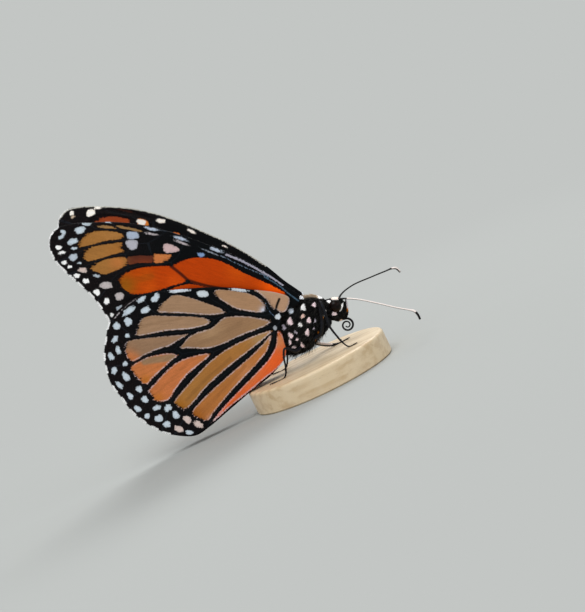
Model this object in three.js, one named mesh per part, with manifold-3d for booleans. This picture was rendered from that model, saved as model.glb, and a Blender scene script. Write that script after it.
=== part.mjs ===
// Monarch butterfly at rest with its wings nearly closed, life size, on a plain round base.
// Millimetres, +X out past the head, +Y to the insect's left, +Z up. While it is built, the origin
// lies midway between the two forewing hinges; the finished group is moved to the middle of its box.
import * as THREE from 'three';
import { mergeVertices } from 'three/addons/utils/BufferGeometryUtils.js';
import Module from 'manifold-3d';

const wasm = await Module();
wasm.setup();

// Driving dimensions
const WING_THICKNESS = 0.52;
const HINGE_HALF_GAP = 2.4; // from the middle of the body to a forewing's root
const WING_OPENING = THREE.MathUtils.degToRad(6.5); // lean of each wing away from upright
const WING_BEND = 4; // height over which a wing turns from upright to its lean
const HINDWING_OFFSET = 0.78; // the hindwing lies this far outside the forewing
const LEFT_FOREWING_RAISE = THREE.MathUtils.degToRad(3); // the far forewing stands a little higher
const MEETING_GAP = 0.25; // between pieces that meet
const BASE_TOP = -12.2;
const BASE_RADIUS = 14.5;
const BASE_THICKNESS = 4.8;
const BASE_BEVEL = 0.6;
const BASE_CENTRE_X = -2.5;
const FOOT_CLEARANCE = 0.05;
const LEG_SIDES = 6;
const SIDES = { left: 1, right: -1 };

// Outlines of the right wings in side view, [x, z], from the hinge along the front edge to the tip,
// down the outer margin and back along the inner margin.
const FOREWING_OUTLINE = [
  [0.85, 0.3], [0.25, 1.5], [-1.3, 3.9], [-3.6, 8.1], [-6.3, 12], [-9.1, 15.5], [-12.2, 18.8],
  [-16.1, 22.7], [-20.3, 26.3], [-24.8, 29.2], [-29, 31.2], [-32.5, 32.6], [-35.6, 33.1], [-37.7, 32.1],
  [-38.7, 29.9], [-38.7, 27.4], [-37.8, 24.4], [-36.6, 21.3], [-35.5, 18.2], [-35, 15.2],
  [-34.7, 12], [-33.4, 9.2], [-31, 7.9], [-24, 5.8], [-14, 2.8], [-6, 0.4], [-2.2, -0.8],
  [-0.4, -0.7],
];
const FOREWING_HEART = [-20, 14.5]; // a point that sees the whole outline
const HINDWING_OUTLINE = [
  [-1.5, 1.3], [-3.1, 3.2], [-7.5, 6.1], [-12.8, 9.2], [-18.8, 11.8], [-24.8, 13.9], [-28.5, 14.4],
  [-32.5, 13.6], [-34.9, 12.2], [-36.8, 9.8], [-38.6, 7], [-39.6, 4], [-40, 1], [-39.4, -2.2],
  [-38.9, -5.2], [-37.3, -8.8], [-35, -11.9], [-32.4, -14], [-29.6, -15.2], [-26.5, -14.8],
  [-22, -13.6], [-16.5, -12.1], [-10.5, -10.6], [-6.9, -8.4], [-5.9, -5], [-5, -2.2], [-3, -0.7],
];
const HINDWING_HEART = [-20, 1];

// Cross-sections of the body from front to back: x, top, bottom, half-width
const HEAD_SECTIONS = [
  [7.8, -4.9, -5.7, 0.3], [7.6, -3.9, -6.8, 1.1], [7.0, -3.1, -7.6, 1.7], [6.0, -2.7, -7.8, 2.0],
  [4.9, -2.7, -7.5, 1.9], [4.2, -3.0, -7.0, 1.5], [3.3, -3.6, -6.2, 0.8],
];
const THORAX_SECTIONS = [
  [4.5, -2.1, -3.6, 0.6], [4.1, -1.3, -5.0, 1.4], [3.3, -0.7, -6.4, 1.95], [2.2, -0.1, -7.2, 2.4],
  [0.6, 0.15, -8.6, 2.8],
  [-1.5, 0.3, -9.8, 3.0], [-3.8, -0.2, -10.0, 2.9], [-5.8, -1.6, -9.4, 2.6], [-7.2, -3.2, -8.4, 2.1],
  [-7.9, -4.9, -7.1, 1.0],
];
const ABDOMEN_SECTIONS = [
  [-6.6, -4.6, -8.0, 1.5], [-8.0, -4.2, -8.9, 2.1], [-11, -4.7, -9.4, 2.3], [-15, -5.7, -10.3, 2.3],
  [-19, -6.9, -11.1, 2.1], [-22.4, -8.1, -11.5, 1.7], [-24.6, -9.2, -11.4, 1.1],
  [-25.5, -10.0, -10.9, 0.4],
];

const COLOURS = {
  black: [0x14130f, 0.8], eye: [0x0c0b0d, 0.25], dark: [0x1d1a18, 0.5], club: [0x2a2320, 0.5],
  forewing: [0xb8560f, 0.6], hindwing: [0xb9814a, 0.6], base: [0xcfc6b6, 0.7],
};

function finish(colourName) {
  const [color, roughness] = COLOURS[colourName];
  return new THREE.MeshStandardMaterial({ color, roughness, metalness: 0 });
}

const group = new THREE.Group();

function addPiece(name, solid, colourName) {
  const geometry = solid.isBufferGeometry ? solid : toGeometry(solid);
  const mesh = new THREE.Mesh(geometry, finish(colourName));
  mesh.name = name;
  group.add(mesh);
}

// A closed surface from rows of points, each row a ring, closed at both ends by a single point.
function closedRings(first, rings, last) {
  const count = rings[0].length;
  const positions = [...first, ...rings.flat(2), ...last];
  const lastIndex = 1 + rings.length * count;
  const index = [];
  for (let i = 0; i < count; i += 1) {
    const next = (i + 1) % count;
    index.push(0, 1 + next, 1 + i);
    for (let ring = 0; ring < rings.length - 1; ring += 1) {
      const near = 1 + ring * count;
      const far = near + count;
      index.push(near + i, near + next, far + i, near + next, far + next, far + i);
    }
    const end = 1 + (rings.length - 1) * count;
    index.push(end + i, end + next, lastIndex);
  }
  if (signedVolume(positions, index) < 0) index.reverse();
  const geometry = new THREE.BufferGeometry();
  geometry.setAttribute('position', new THREE.Float32BufferAttribute(positions, 3));
  geometry.setIndex(index);
  return geometry;
}

// Negative where the faces of a closed surface point inwards.
function signedVolume(positions, index) {
  const corner = (i) => new THREE.Vector3(...positions.slice(3 * index[i], 3 * index[i] + 3));
  let volume = 0;
  for (let i = 0; i < index.length; i += 3) {
    volume += corner(i).dot(corner(i + 1).cross(corner(i + 2))) / 6;
  }
  return volume;
}

function toSolid(geometry) {
  const bare = geometry.clone();
  bare.deleteAttribute('normal');
  bare.deleteAttribute('uv');
  const merged = mergeVertices(bare, 1e-4);
  const mesh = new wasm.Mesh({
    numProp: 3,
    vertProperties: Float32Array.from(merged.attributes.position.array),
    triVerts: Uint32Array.from(merged.index.array),
  });
  return new wasm.Manifold(mesh);
}

function toGeometry(solid) {
  const mesh = solid.getMesh();
  const geometry = new THREE.BufferGeometry();
  geometry.setAttribute('position', new THREE.BufferAttribute(mesh.vertProperties, 3));
  geometry.setIndex(new THREE.BufferAttribute(mesh.triVerts, 1));
  return geometry;
}

// The largest piece that is left of a solid once others are cut away.
function cut(solid, ...others) {
  const left = others.reduce((rest, other) => rest.subtract(other), solid);
  const bodies = left.decompose();
  return bodies.reduce((best, body) => (body.volume() > best.volume() ? body : best));
}

function signedPower(value, power) {
  return Math.sign(value) * Math.abs(value) ** power;
}

// A smooth value between the rows of a list, for every column at once.
function between(rows, t) {
  const place = t * (rows.length - 1);
  const at = Math.min(Math.floor(place), rows.length - 2);
  const u = place - at;
  const row = (step) => rows[THREE.MathUtils.clamp(at + step, 0, rows.length - 1)];
  const [a, b, c, d] = [-1, 0, 1, 2].map(row);
  return b.map((_, k) => {
    const slopeIn = (c[k] - a[k]) / 2;
    const slopeOut = (d[k] - b[k]) / 2;
    return (2 * u ** 3 - 3 * u ** 2 + 1) * b[k] + (u ** 3 - 2 * u ** 2 + u) * slopeIn
      + (3 * u ** 2 - 2 * u ** 3) * c[k] + (u ** 3 - u ** 2) * slopeOut;
  });
}

// One length of the body: rounded cross-sections that stand across X, from front to back. A
// squareness of 2 makes them ellipses, and more makes them boxier.
function bodyPart(sections, squareness, ringCount, sides, grow) {
  const rings = [];
  for (let r = 0; r < ringCount; r += 1) {
    const t = r / (ringCount - 1);
    const [x, top, bottom, halfWidth] = between(sections, t);
    const shift = grow * Math.cos(Math.PI * t);
    const middle = (top + bottom) / 2;
    const halfHeight = (top - bottom) / 2 + grow;
    const ring = [];
    for (let s = 0; s < sides; s += 1) {
      const angle = (2 * Math.PI * s) / sides;
      ring.push([
        x + shift,
        (halfWidth + grow) * signedPower(Math.cos(angle), 2 / squareness),
        middle + halfHeight * signedPower(Math.sin(angle), 2 / squareness),
      ]);
    }
    rings.push(ring);
  }
  const tip = (section, way) => [section[0] + way * (0.12 + grow), 0, (section[1] + section[2]) / 2];
  return closedRings(tip(sections[0], 1), rings, tip(sections.at(-1), -1));
}

// A limb or feeler: a round tube through the given points, with a thickness at each of them. What
// would sink below a level is pressed flat on it, as a foot is.
function limb(points, radii, steps, sides = LEG_SIDES, level = -Infinity) {
  const places = points.map((p) => new THREE.Vector3(...p));
  const path = new THREE.CatmullRomCurve3(places, false, 'centripetal');
  const frames = path.computeFrenetFrames(steps, false);
  const rings = [];
  for (let i = 0; i <= steps; i += 1) {
    const centre = path.getPointAt(i / steps);
    const [radius] = between(radii.map((r) => [r]), i / steps);
    const ring = [];
    for (let s = 0; s < sides; s += 1) {
      const angle = (2 * Math.PI * s) / sides;
      const point = centre.clone()
        .addScaledVector(frames.normals[i], radius * Math.cos(angle))
        .addScaledVector(frames.binormals[i], radius * Math.sin(angle));
      ring.push([point.x, point.y, Math.max(point.z, level)]);
    }
    rings.push(ring);
  }
  const end = (t, i, way) => {
    const tip = path.getPointAt(t).addScaledVector(frames.tangents[i], way * radii.at(t ? -1 : 0) * 0.6);
    return [tip.x, tip.y, Math.max(tip.z, level + 0.05)];
  };
  return closedRings(end(0, 0, -1), rings, end(1, steps, 1));
}

// How far a wing's middle surface stands from the plane of symmetry at a height.
function wingPlace(z, offset) {
  const above = (Math.sqrt(z * z + WING_BEND * WING_BEND) + z - WING_BEND) / 2;
  return HINGE_HALF_GAP + offset + Math.tan(WING_OPENING) * above;
}

// A wing: its outline drawn in towards its heart in steps, on an outer and an inner face.
function wing(outline, heart, offset, side, raise = 0) {
  const samples = 60;
  const steps = [0.34, 0.68, 1];
  const corners = outline.map(([x, z]) => new THREE.Vector3(x, 0, z));
  const curve = new THREE.CatmullRomCurve3(corners, true, 'centripetal');
  const edge = curve.getSpacedPoints(samples).slice(0, samples);
  const place = (x, z, face) => {
    const y = side * (wingPlace(z, offset) + (face * WING_THICKNESS) / 2);
    const turnedX = x * Math.cos(raise) + z * Math.sin(raise);
    const turnedZ = z * Math.cos(raise) - x * Math.sin(raise);
    return [turnedX, y, turnedZ];
  };
  const ringAt = (part, face) => edge.map((p) => place(
    THREE.MathUtils.lerp(heart[0], p.x, part),
    THREE.MathUtils.lerp(heart[1], p.z, part),
    face,
  ));
  const outer = steps.map((part) => ringAt(part, 1));
  const inner = steps.toReversed().map((part) => ringAt(part, -1));
  return closedRings(place(...heart, 1), [...outer, ...inner], place(...heart, -1));
}

function ball(centre, radii, segments, rows) {
  const geometry = new THREE.SphereGeometry(1, segments, rows);
  geometry.scale(...radii);
  geometry.translate(...centre);
  return geometry;
}

// The lengths of the body, and slightly larger copies that trim what meets them
const headSolid = (grow) => toSolid(bodyPart(HEAD_SECTIONS, 2.2, 13, 18, grow));
const thoraxSolid = (grow) => toSolid(bodyPart(THORAX_SECTIONS, 2.8, 17, 22, grow));
const abdomenSolid = (grow) => toSolid(bodyPart(ABDOMEN_SECTIONS, 2.1, 20, 20, grow));
const headRoom = headSolid(MEETING_GAP);
const thoraxRoom = thoraxSolid(MEETING_GAP);
const abdomenRoom = abdomenSolid(MEETING_GAP);

const EYE_CENTRE = [5.8, 1.45, -4.25];
const EYE_RADII = [1.15, 0.95, 1.3];
const EYE_RIM = 0.12; // open line round each eye

function eyeSolid(side, grow = 0) {
  const centre = [EYE_CENTRE[0], side * EYE_CENTRE[1], EYE_CENTRE[2]];
  return toSolid(ball(centre, EYE_RADII.map((r) => r + grow), 14, 9));
}

let head = cut(headSolid(0), thoraxRoom);
for (const side of Object.values(SIDES)) head = cut(head, eyeSolid(side, EYE_RIM));
addPiece('head', head, 'black');
addPiece('thorax', thoraxSolid(0), 'black');
addPiece('abdomen', cut(abdomenSolid(0), thoraxRoom), 'black');

// Eyes, palps and the coiled tongue
const PALP = [[6.8, 0.62, -7.0], [7.55, 0.66, -6.2], [8.0, 0.66, -5.2], [8.15, 0.62, -4.4]];
const PALP_RADII = [0.4, 0.5, 0.46, 0.27];
for (const [name, side] of Object.entries(SIDES)) {
  addPiece(`eye_${name}`, eyeSolid(side), 'eye');
  const palp = limb(PALP.map(([x, y, z]) => [x, side * y, z]), PALP_RADII, 9, 8);
  addPiece(`palp_${name}`, cut(toSolid(palp), headRoom), 'dark');
}

const TONGUE = { centreX: 6.2, centreZ: -8.8, inner: 0.32, pitch: 0.6, turns: 1.7, radius: 0.25, points: 22 };
const TONGUE_ROOT = [5.7, 0, -7.2];

// The tongue winds outwards from its tip, up to the underside of the head.
function tongue() {
  const points = [];
  for (let i = 0; i <= TONGUE.points; i += 1) {
    const turn = (TONGUE.turns * i) / TONGUE.points;
    const angle = Math.PI / 2 + 2 * Math.PI * (turn - TONGUE.turns);
    const reach = TONGUE.inner + TONGUE.pitch * turn;
    points.push([TONGUE.centreX + reach * Math.cos(angle), 0, TONGUE.centreZ + reach * Math.sin(angle)]);
  }
  points.push(TONGUE_ROOT);
  return limb(points, [TONGUE.radius, TONGUE.radius], 32, 6);
}
addPiece('proboscis', cut(toSolid(tongue()), headRoom), 'dark');

// Feelers, each ending in a slightly bent club
const ANTENNAE = {
  right: [[6.9, -0.6, -3.4], [8.2, -1.1, -3.6], [10.4, -2.0, -4.9], [13.5, -3.3, -7.1],
    [16.6, -4.6, -9.4], [19.1, -5.6, -11.5], [19.7, -5.9, -12.8]],
  left: [[6.7, 0.6, -3.7], [7.8, 1.1, -3.0], [10.4, 2.0, -2.6], [14.4, 3.3, -2.6],
    [18.0, 4.4, -2.7], [19.5, 4.8, -3.1], [20.1, 5.1, -4.3]],
};
const ANTENNA_RADII = [0.27, 0.25, 0.25, 0.25, 0.26, 0.36, 0.42];
for (const [name, points] of Object.entries(ANTENNAE)) {
  const stem = toSolid(limb(points, ANTENNA_RADII, 30, 6));
  addPiece(`antenna_${name}`, cut(stem, headRoom), 'dark');
}

// Legs: hip, knee, heel and toe. The small front pair is folded against the chest.
const TOE = BASE_TOP + 0.2;
const LEGS = {
  foreleg_right: [[1.2, -0.9, -6.2], [2.6, -1.0, -5.75], [3.4, -1.2, -6.05], [3.45, -1.3, -6.75],
    [2.8, -1.4, -7.25], [1.8, -1.4, -7.8], [0.9, -1.3, -8.4]],
  foreleg_left: [[1.2, 0.9, -6.2], [2.6, 1.0, -5.75], [3.4, 1.2, -6.05], [3.45, 1.3, -6.75],
    [2.8, 1.4, -7.25], [1.8, 1.4, -7.8], [0.9, 1.3, -8.4]],
  midleg_right: [[-0.9, -1.8, -8.2], [0.9, -2.8, -7.8], [2.4, -2.9, -5.2], [3.2, -3.3, -2.5],
    [3.6, -3.8, -2.0], [3.7, -4.2, -2.7], [3.55, -4.4, -4.2], [3.2, -4.5, -6.7], [3.6, -4.7, -9.0],
    [4.2, -4.9, -11.0], [4.9, -5.1, TOE], [6.3, -5.4, TOE]],
  midleg_left: [[-0.9, 1.8, -8.4], [-1.2, 3.6, -8.6], [-1.9, 5.0, -8.4], [-1.2, 5.2, -9.9],
    [0.5, 5.3, -11.2], [2.4, 5.4, TOE], [5.0, 5.6, TOE]],
  hindleg_right: [[-3.8, -1.9, -8.6], [-4.9, -3.9, -8.6], [-6.5, -4.7, -7.1], [-7.4, -4.9, -8.6],
    [-7.9, -5.1, -10.4], [-8.9, -5.3, TOE], [-11.7, -5.6, TOE]],
  hindleg_left: [[-3.8, 1.9, -8.6], [-4.7, 3.9, -8.6], [-6.2, 4.8, -7.4], [-6.9, 5.0, -8.8],
    [-7.7, 5.2, -10.7], [-8.8, 5.4, TOE], [-11.6, 5.8, TOE]],
};
const LEG_RADII = [0.5, 0.42, 0.36, 0.3, 0.27, 0.26];
for (const [name, points] of Object.entries(LEGS)) {
  const leg = toSolid(limb(points, LEG_RADII, 20, LEG_SIDES, BASE_TOP + FOOT_CLEARANCE));
  addPiece(name, cut(leg, thoraxRoom), 'black');
}

// Wings
const wingKinds = {
  forewing: [FOREWING_OUTLINE, FOREWING_HEART, 0],
  hindwing: [HINDWING_OUTLINE, HINDWING_HEART, HINDWING_OFFSET],
};
for (const [kind, [outline, heart, offset]] of Object.entries(wingKinds)) {
  for (const [name, side] of Object.entries(SIDES)) {
    const raise = name === 'left' && kind === 'forewing' ? LEFT_FOREWING_RAISE : 0;
    const blade = toSolid(wing(outline, heart, offset, side, raise));
    addPiece(`${kind}_${name}`, cut(blade, thoraxRoom, abdomenRoom), kind);
  }
}

// Base
function base() {
  const r = BASE_RADIUS;
  const low = BASE_TOP - BASE_THICKNESS;
  const profile = [[0, low], [r, low], [r, BASE_TOP - BASE_BEVEL], [r - BASE_BEVEL, BASE_TOP], [0, BASE_TOP]];
  const disc = new THREE.LatheGeometry(profile.map(([x, y]) => new THREE.Vector2(x, y)), 48);
  disc.rotateX(Math.PI / 2);
  disc.translate(BASE_CENTRE_X, 0, 0);
  return disc;
}
addPiece('stand_base', base(), 'base');

// The origin is the middle of the box's underside.
const box = new THREE.Box3().setFromObject(group);
group.position.set(-(box.min.x + box.max.x) / 2, -(box.min.y + box.max.y) / 2, -box.min.z);

export default group;
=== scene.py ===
# Monarch butterfly at rest on a round maple base, a life-size museum model: its looks.
#
# Shapes are written in millimetres from the point midway between the two forewing hinges: +X out
# past the head, +Y to the insect's left, +Z up. in_frame() turns them into the frame's own metres.
import math

import bpy
import numpy as np
from mathutils import Matrix, Vector
from mathutils.geometry import delaunay_2d_cdt


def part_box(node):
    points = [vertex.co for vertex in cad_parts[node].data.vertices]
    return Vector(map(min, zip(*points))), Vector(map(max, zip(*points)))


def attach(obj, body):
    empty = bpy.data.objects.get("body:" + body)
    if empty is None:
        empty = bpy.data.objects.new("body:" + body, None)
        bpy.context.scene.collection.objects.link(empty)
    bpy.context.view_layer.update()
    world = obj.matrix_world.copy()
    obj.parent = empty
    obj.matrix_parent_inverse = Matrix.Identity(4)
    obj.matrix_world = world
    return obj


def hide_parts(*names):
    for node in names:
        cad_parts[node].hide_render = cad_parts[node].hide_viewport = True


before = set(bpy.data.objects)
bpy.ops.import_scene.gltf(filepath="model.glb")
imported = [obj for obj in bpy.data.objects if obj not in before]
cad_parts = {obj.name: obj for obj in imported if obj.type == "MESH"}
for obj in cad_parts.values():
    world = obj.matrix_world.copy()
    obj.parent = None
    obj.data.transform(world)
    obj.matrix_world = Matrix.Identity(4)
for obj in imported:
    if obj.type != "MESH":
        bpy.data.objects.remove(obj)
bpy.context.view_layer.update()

MM = 0.001
ROOT = "root"
SIDES = {"left": 1, "right": -1}

# The base's size comes from the frame; its place from the hinges turns millimetres into the frame
BASE_TOP = -12.2
BASE_CENTRE_X = -2.5
base_low, base_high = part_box("stand_base")
BASE_RADIUS = (base_high.y - base_low.y) / 2 / MM
BASE_THICKNESS = (base_high.z - base_low.z) / MM
HINGE = np.array([
    (base_low.x + base_high.x) / 2 / MM - BASE_CENTRE_X,
    (base_low.y + base_high.y) / 2 / MM,
    base_high.z / MM - BASE_TOP,
])


def in_frame(points):
    """Millimetres from the hinges as metres in the frame."""
    return (np.asarray(points, float) + HINGE) * MM


# ---- Colours and finishes -------------------------------------------------------------------

def paint(code):
    """A colour written as #RRGGBB, as the linear red, green, blue and alpha that shaders take."""
    parts = [int(code[i:i + 2], 16) / 255 for i in (1, 3, 5)]
    return tuple(p / 12.92 if p <= 0.04045 else ((p + 0.055) / 1.055) ** 2.4 for p in parts) + (1.0,)


TAN = "#9D7D61"
SALMON = "#BC7141"
OCHRE = "#9E6C36"
RED_ORANGE = "#D2602E"
DEEP_ORANGE = "#B43D04"
BRIGHT_ORANGE = "#D8620F"
RUST = "#93401F"
WHITE = "#FFFFFF"
CREAM = "#FFFBF2"
BLUISH = "#C4D0DA"
PINKISH = "#D3C0B9"
SCALE_BLACK = "#040608"


class Wire:
    """An output socket, whose sums are written as Python expressions."""

    def __init__(self, net, socket):
        self.net, self.socket = net, socket

    def __add__(self, other):
        return self.net.maths("ADD", self, other)

    def __sub__(self, other):
        return self.net.maths("SUBTRACT", self, other)

    def __rsub__(self, other):
        return self.net.maths("SUBTRACT", other, self)

    def __mul__(self, other):
        return self.net.maths("MULTIPLY", self, other)

    def __abs__(self):
        return self.net.maths("ABSOLUTE", self)

    __radd__ = __add__
    __rmul__ = __mul__


class Net:
    """A tree of nodes being wired, for a finish or for a geometry rule."""

    def __init__(self, tree):
        self.tree = tree
        tree.nodes.clear()

    def node(self, kind, settings=None, sockets=None):
        """Adds a node: its settings first, then values or wires for its sockets."""
        node = self.tree.nodes.new(kind)
        for name, value in (settings or {}).items():
            setattr(node, name, value)
        for key, value in (sockets or {}).items():
            self.feed(node, key, value)
        return node

    def feed(self, node, key, value):
        if isinstance(value, Wire):
            self.tree.links.new(value.socket, node.inputs[key])
        else:
            node.inputs[key].default_value = value

    def wire(self, kind, settings=None, sockets=None, output=0):
        return Wire(self, self.node(kind, settings, sockets).outputs[output])

    def maths(self, operation, *values):
        return self.wire("ShaderNodeMath", {"operation": operation}, dict(enumerate(values)))

    def vector(self, operation, *values):
        return self.wire("ShaderNodeVectorMath", {"operation": operation}, dict(enumerate(values)))

    def scaled(self, vector, factor):
        settings = {"operation": "SCALE"}
        return self.wire("ShaderNodeVectorMath", settings, {"Vector": vector, "Scale": factor})

    def rise(self, value, low, high):
        """0 below low, 1 above high and a smooth step between them."""
        settings = {"interpolation_type": "SMOOTHSTEP"}
        sockets = {"Value": value, "From Min": low, "From Max": high}
        return self.wire("ShaderNodeMapRange", settings, sockets)

    def mix(self, share, first, second):
        """The first colour, with a share of the second."""
        sockets = {"Factor": share, 6: first, 7: second}
        return self.wire("ShaderNodeMix", {"data_type": "RGBA"}, sockets, 2)

    def noise(self, where, scale, detail=2.0, output=0):
        """Soft noise with so many features to a unit, or with three such numbers if stretched."""
        if isinstance(scale, tuple):
            where, scale = self.vector("MULTIPLY", where, scale), 1.0
        sockets = {"Vector": where, "Scale": scale, "Detail": detail}
        return self.wire("ShaderNodeTexNoise", {}, sockets, output)

    def attribute(self, name, output="Fac"):
        return self.wire("ShaderNodeAttribute", {"attribute_name": name}, output=output)

    def part(self, vector, index):
        return self.wire("ShaderNodeSeparateXYZ", {}, {0: vector}, index)

    def place(self):
        return self.wire("ShaderNodeTexCoord", output="Object")


class Finish(Net):
    """A material with one Principled shader; its sockets are set as the looks are worked out."""

    def __init__(self, name, sockets):
        self.material = bpy.data.materials.new(name)
        self.material.use_nodes = True
        super().__init__(self.material.node_tree)
        self.shader = self.node("ShaderNodeBsdfPrincipled", {}, sockets)
        self.node("ShaderNodeOutputMaterial", {}, {"Surface": Wire(self, self.shader.outputs[0])})

    def done(self, colour, roughness, height, depth, strength):
        """Colour, roughness and a relief of a height of 0 to 1, so many millimetres deep."""
        relief = {"Height": height, "Distance": depth * MM, "Strength": strength}
        self.feed(self.shader, "Base Color", colour)
        self.feed(self.shader, "Roughness", roughness)
        self.feed(self.shader, "Normal", self.wire("ShaderNodeBump", {}, relief))
        return self.material


def wing_finish(name, pale_share):
    """Rows of fine scales: coloured cells, black veins and border, and pale spots.

    cell_depth and spot_depth tell how far a place lies inside a cell or a spot, in millimetres.
    vein holds how much nearer one of the two nearest cells is than the other, with a sign and
    without (it is 0 along the vein between them), and then how pale the cell's edge is. fan holds
    the way out along the veins and the way across them.
    """
    net = Finish(name, {"Specular IOR Level": 0.07})
    where = net.place()
    fan = net.attribute("fan", "Vector")
    vein = net.attribute("vein", "Vector")
    along_edge = net.attribute("along_edge")

    # Scales, teeth of a few scales and blotches; streaks, rows and combs that follow the veins
    grain = net.noise(where, 9000.0, 1.0)
    tooth = net.noise(where, 3600.0, 1.0)
    blotch = net.noise(where, 900.0, 2.0)
    streak = net.noise(fan, (0.3, 4.0, 1.0), 3.0)
    rows = net.noise(fan, (4.0, 9.0, 1.0), 2.0)
    comb = net.noise(fan, (1.2, 8.0, 1.0), 1.0)

    # Cells and spots have ragged edges; a pale line runs inside a cell, a painted highlight on the
    # vein
    ragged = (grain - 0.5) * 0.3 + (tooth - 0.5) * 0.5 + (comb - 0.5) * (1 - along_edge) * 1.6
    cell = net.attribute("cell_depth") + ragged
    spot = net.attribute("spot_depth") + (grain - 0.5) * 0.22 + (tooth - 0.5) * 0.4
    in_cell = net.rise(cell, -0.06, 0.06)
    in_spot = net.rise(spot, -0.04, 0.06)
    # The pale lilac line is partly the cells' own pale edging; where it follows their lower edges it
    # is a painted highlight
    pale_line = net.rise(cell, -0.02, 0.06) * (1 - net.rise(cell, 0.12, 0.3)) * pale_share
    pale_line = pale_line * net.part(vein, 2) * net.rise(tooth * 0.5 + blotch * 0.5, 0.32, 0.56)
    on_vein = 1 - net.rise(abs(net.part(vein, 0)), 0.05, 0.16)
    on_vein = on_vein * (1 - net.rise(net.part(vein, 1), 0.2, 0.4))

    # The black is duller and browner towards the tip
    outer_part = net.rise(net.part(fan, 0), 26.0, 40.0)
    dusk = net.rise(rows * 0.6 + grain * 0.4, 0.4, 0.75) * (outer_part * 0.4 + 0.5)
    dark = net.mix(outer_part, paint("#12161C"), paint("#2B1F20"))
    dark = net.mix(dusk, paint(SCALE_BLACK), dark)
    # Painted highlight: a faint grey-blue line along the middle of the veins
    dark = net.mix(on_vein * net.rise(rows, 0.3, 0.6) * 0.35, dark, paint("#2A333D"))

    # A cell is streaked along the veins and brown at its rim; a spot is brightest in its middle
    tone = streak * 0.5 + rows * 0.5 + grain * 0.4 + blotch * 0.2 + 0.38
    lit_cell = net.scaled(net.attribute("cell_tint", "Color"), tone)
    rim_shade = (1 - net.rise(cell, 0.0, 0.5)) * (1 - along_edge) * 0.45
    lit_cell = net.mix(rim_shade, lit_cell, paint("#3A1C0A"))
    lit_cell = net.mix(pale_line, lit_cell, paint("#CFC4CC"))
    lit_spot = net.rise(spot, -0.05, 0.4) * 0.3 + tooth * 0.3 + grain * 0.2 + 0.6
    lit_spot = net.scaled(net.attribute("spot_tint", "Color"), lit_spot)

    colour = net.mix(in_spot, net.mix(in_cell, dark, lit_cell), lit_spot)
    roughness = 0.46 + in_cell * 0.14 + blotch * 0.1
    height = rows * 0.5 + grain * 0.5 + streak * 0.3 + on_vein * (1 - in_cell) * 0.8
    return net.done(colour, roughness, height, depth=0.03, strength=0.5)


def fur_finish(name, tuft):
    """Black fur or its skin, with white patches and a painted beige highlight on the thorax's top;
    tufts take the patch their root stands in.
    """
    net = Finish(name, {"Specular IOR Level": 0.12})
    where = net.place()
    grain = net.noise(where, 7000.0, 2.0)
    tone = net.attribute("tone") if tuft else net.noise(where, 1200.0, 2.0)
    ragged = 0.0 if tuft else (grain - 0.5) * 0.12
    in_spot = net.rise(net.attribute("spot_depth") + ragged, -0.03, 0.03)
    dark = net.mix(net.rise(tone, 0.5, 1.0), paint("#030304"), paint("#3A3937"))
    # Painted highlight: beige on the upward-facing top of the thorax
    brown = net.mix(net.attribute("brown") * (tone * 0.3 + 0.85), dark, paint("#C8B49C"))
    pale = net.scaled(net.attribute("spot_tint", "Color"), tone * 0.2 + 1.02)
    colour = net.mix(in_spot, brown, pale)
    return net.done(colour, 0.55 + grain * 0.2, grain, depth=0.02, strength=0.4)


def horn_finish(name, dark, dusty):
    """Smooth black skin of legs, feelers and tongue, dusted with paler scales.

    The mark pale tells where a limb is whitish on top: a painted highlight on the feelers, and on one
    shin a band of pale scales with a painted highlight.
    """
    net = Finish(name, {"Specular IOR Level": 0.2, "Coat Weight": 0.05, "Coat Roughness": 0.3})
    where = net.place()
    grain = net.noise(where, 9000.0, 2.0)
    blotch = net.noise(where, 1500.0, 3.0)
    dust = net.rise(grain * 0.6 + blotch * 0.4, 0.5, 0.8)
    # Whitish on top where the mark pale says: a painted highlight on the feelers, pale scales with a
    # painted highlight on one shin
    stripe_and_highlight = net.rise(net.attribute("pale") + (grain - 0.5) * 0.5, 0.35, 0.65)
    colour = net.mix(stripe_and_highlight, net.mix(dust, paint(dark), paint(dusty)), paint("#F0E4DE"))
    return net.done(colour, 0.36 + grain * 0.25, grain, depth=0.012, strength=0.5)


def eye_finish():
    """A domed eye of close-packed facets, dark brown going to black."""
    gloss = {"Specular IOR Level": 0.12, "Coat Weight": 0.03, "Coat Roughness": 0.08}
    net = Finish("eye_facets", gloss)
    where = net.place()
    sockets = {"Vector": where, "Scale": 14000.0, "Randomness": 0.35}
    facet = net.wire("ShaderNodeTexVoronoi", {"feature": "F1"}, sockets)
    blotch = net.noise(where, 900.0, 2.0)
    dome = 1 - net.rise(facet, 0.1, 0.7)
    colour = net.mix(net.rise(blotch, 0.35, 0.7) * 0.7, paint("#120806"), paint("#3A1D12"))
    colour = net.mix(1 - dome, colour, paint("#020101"))
    return net.done(colour, 0.12 + blotch * 0.1, dome, depth=0.006, strength=0.5)


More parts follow.
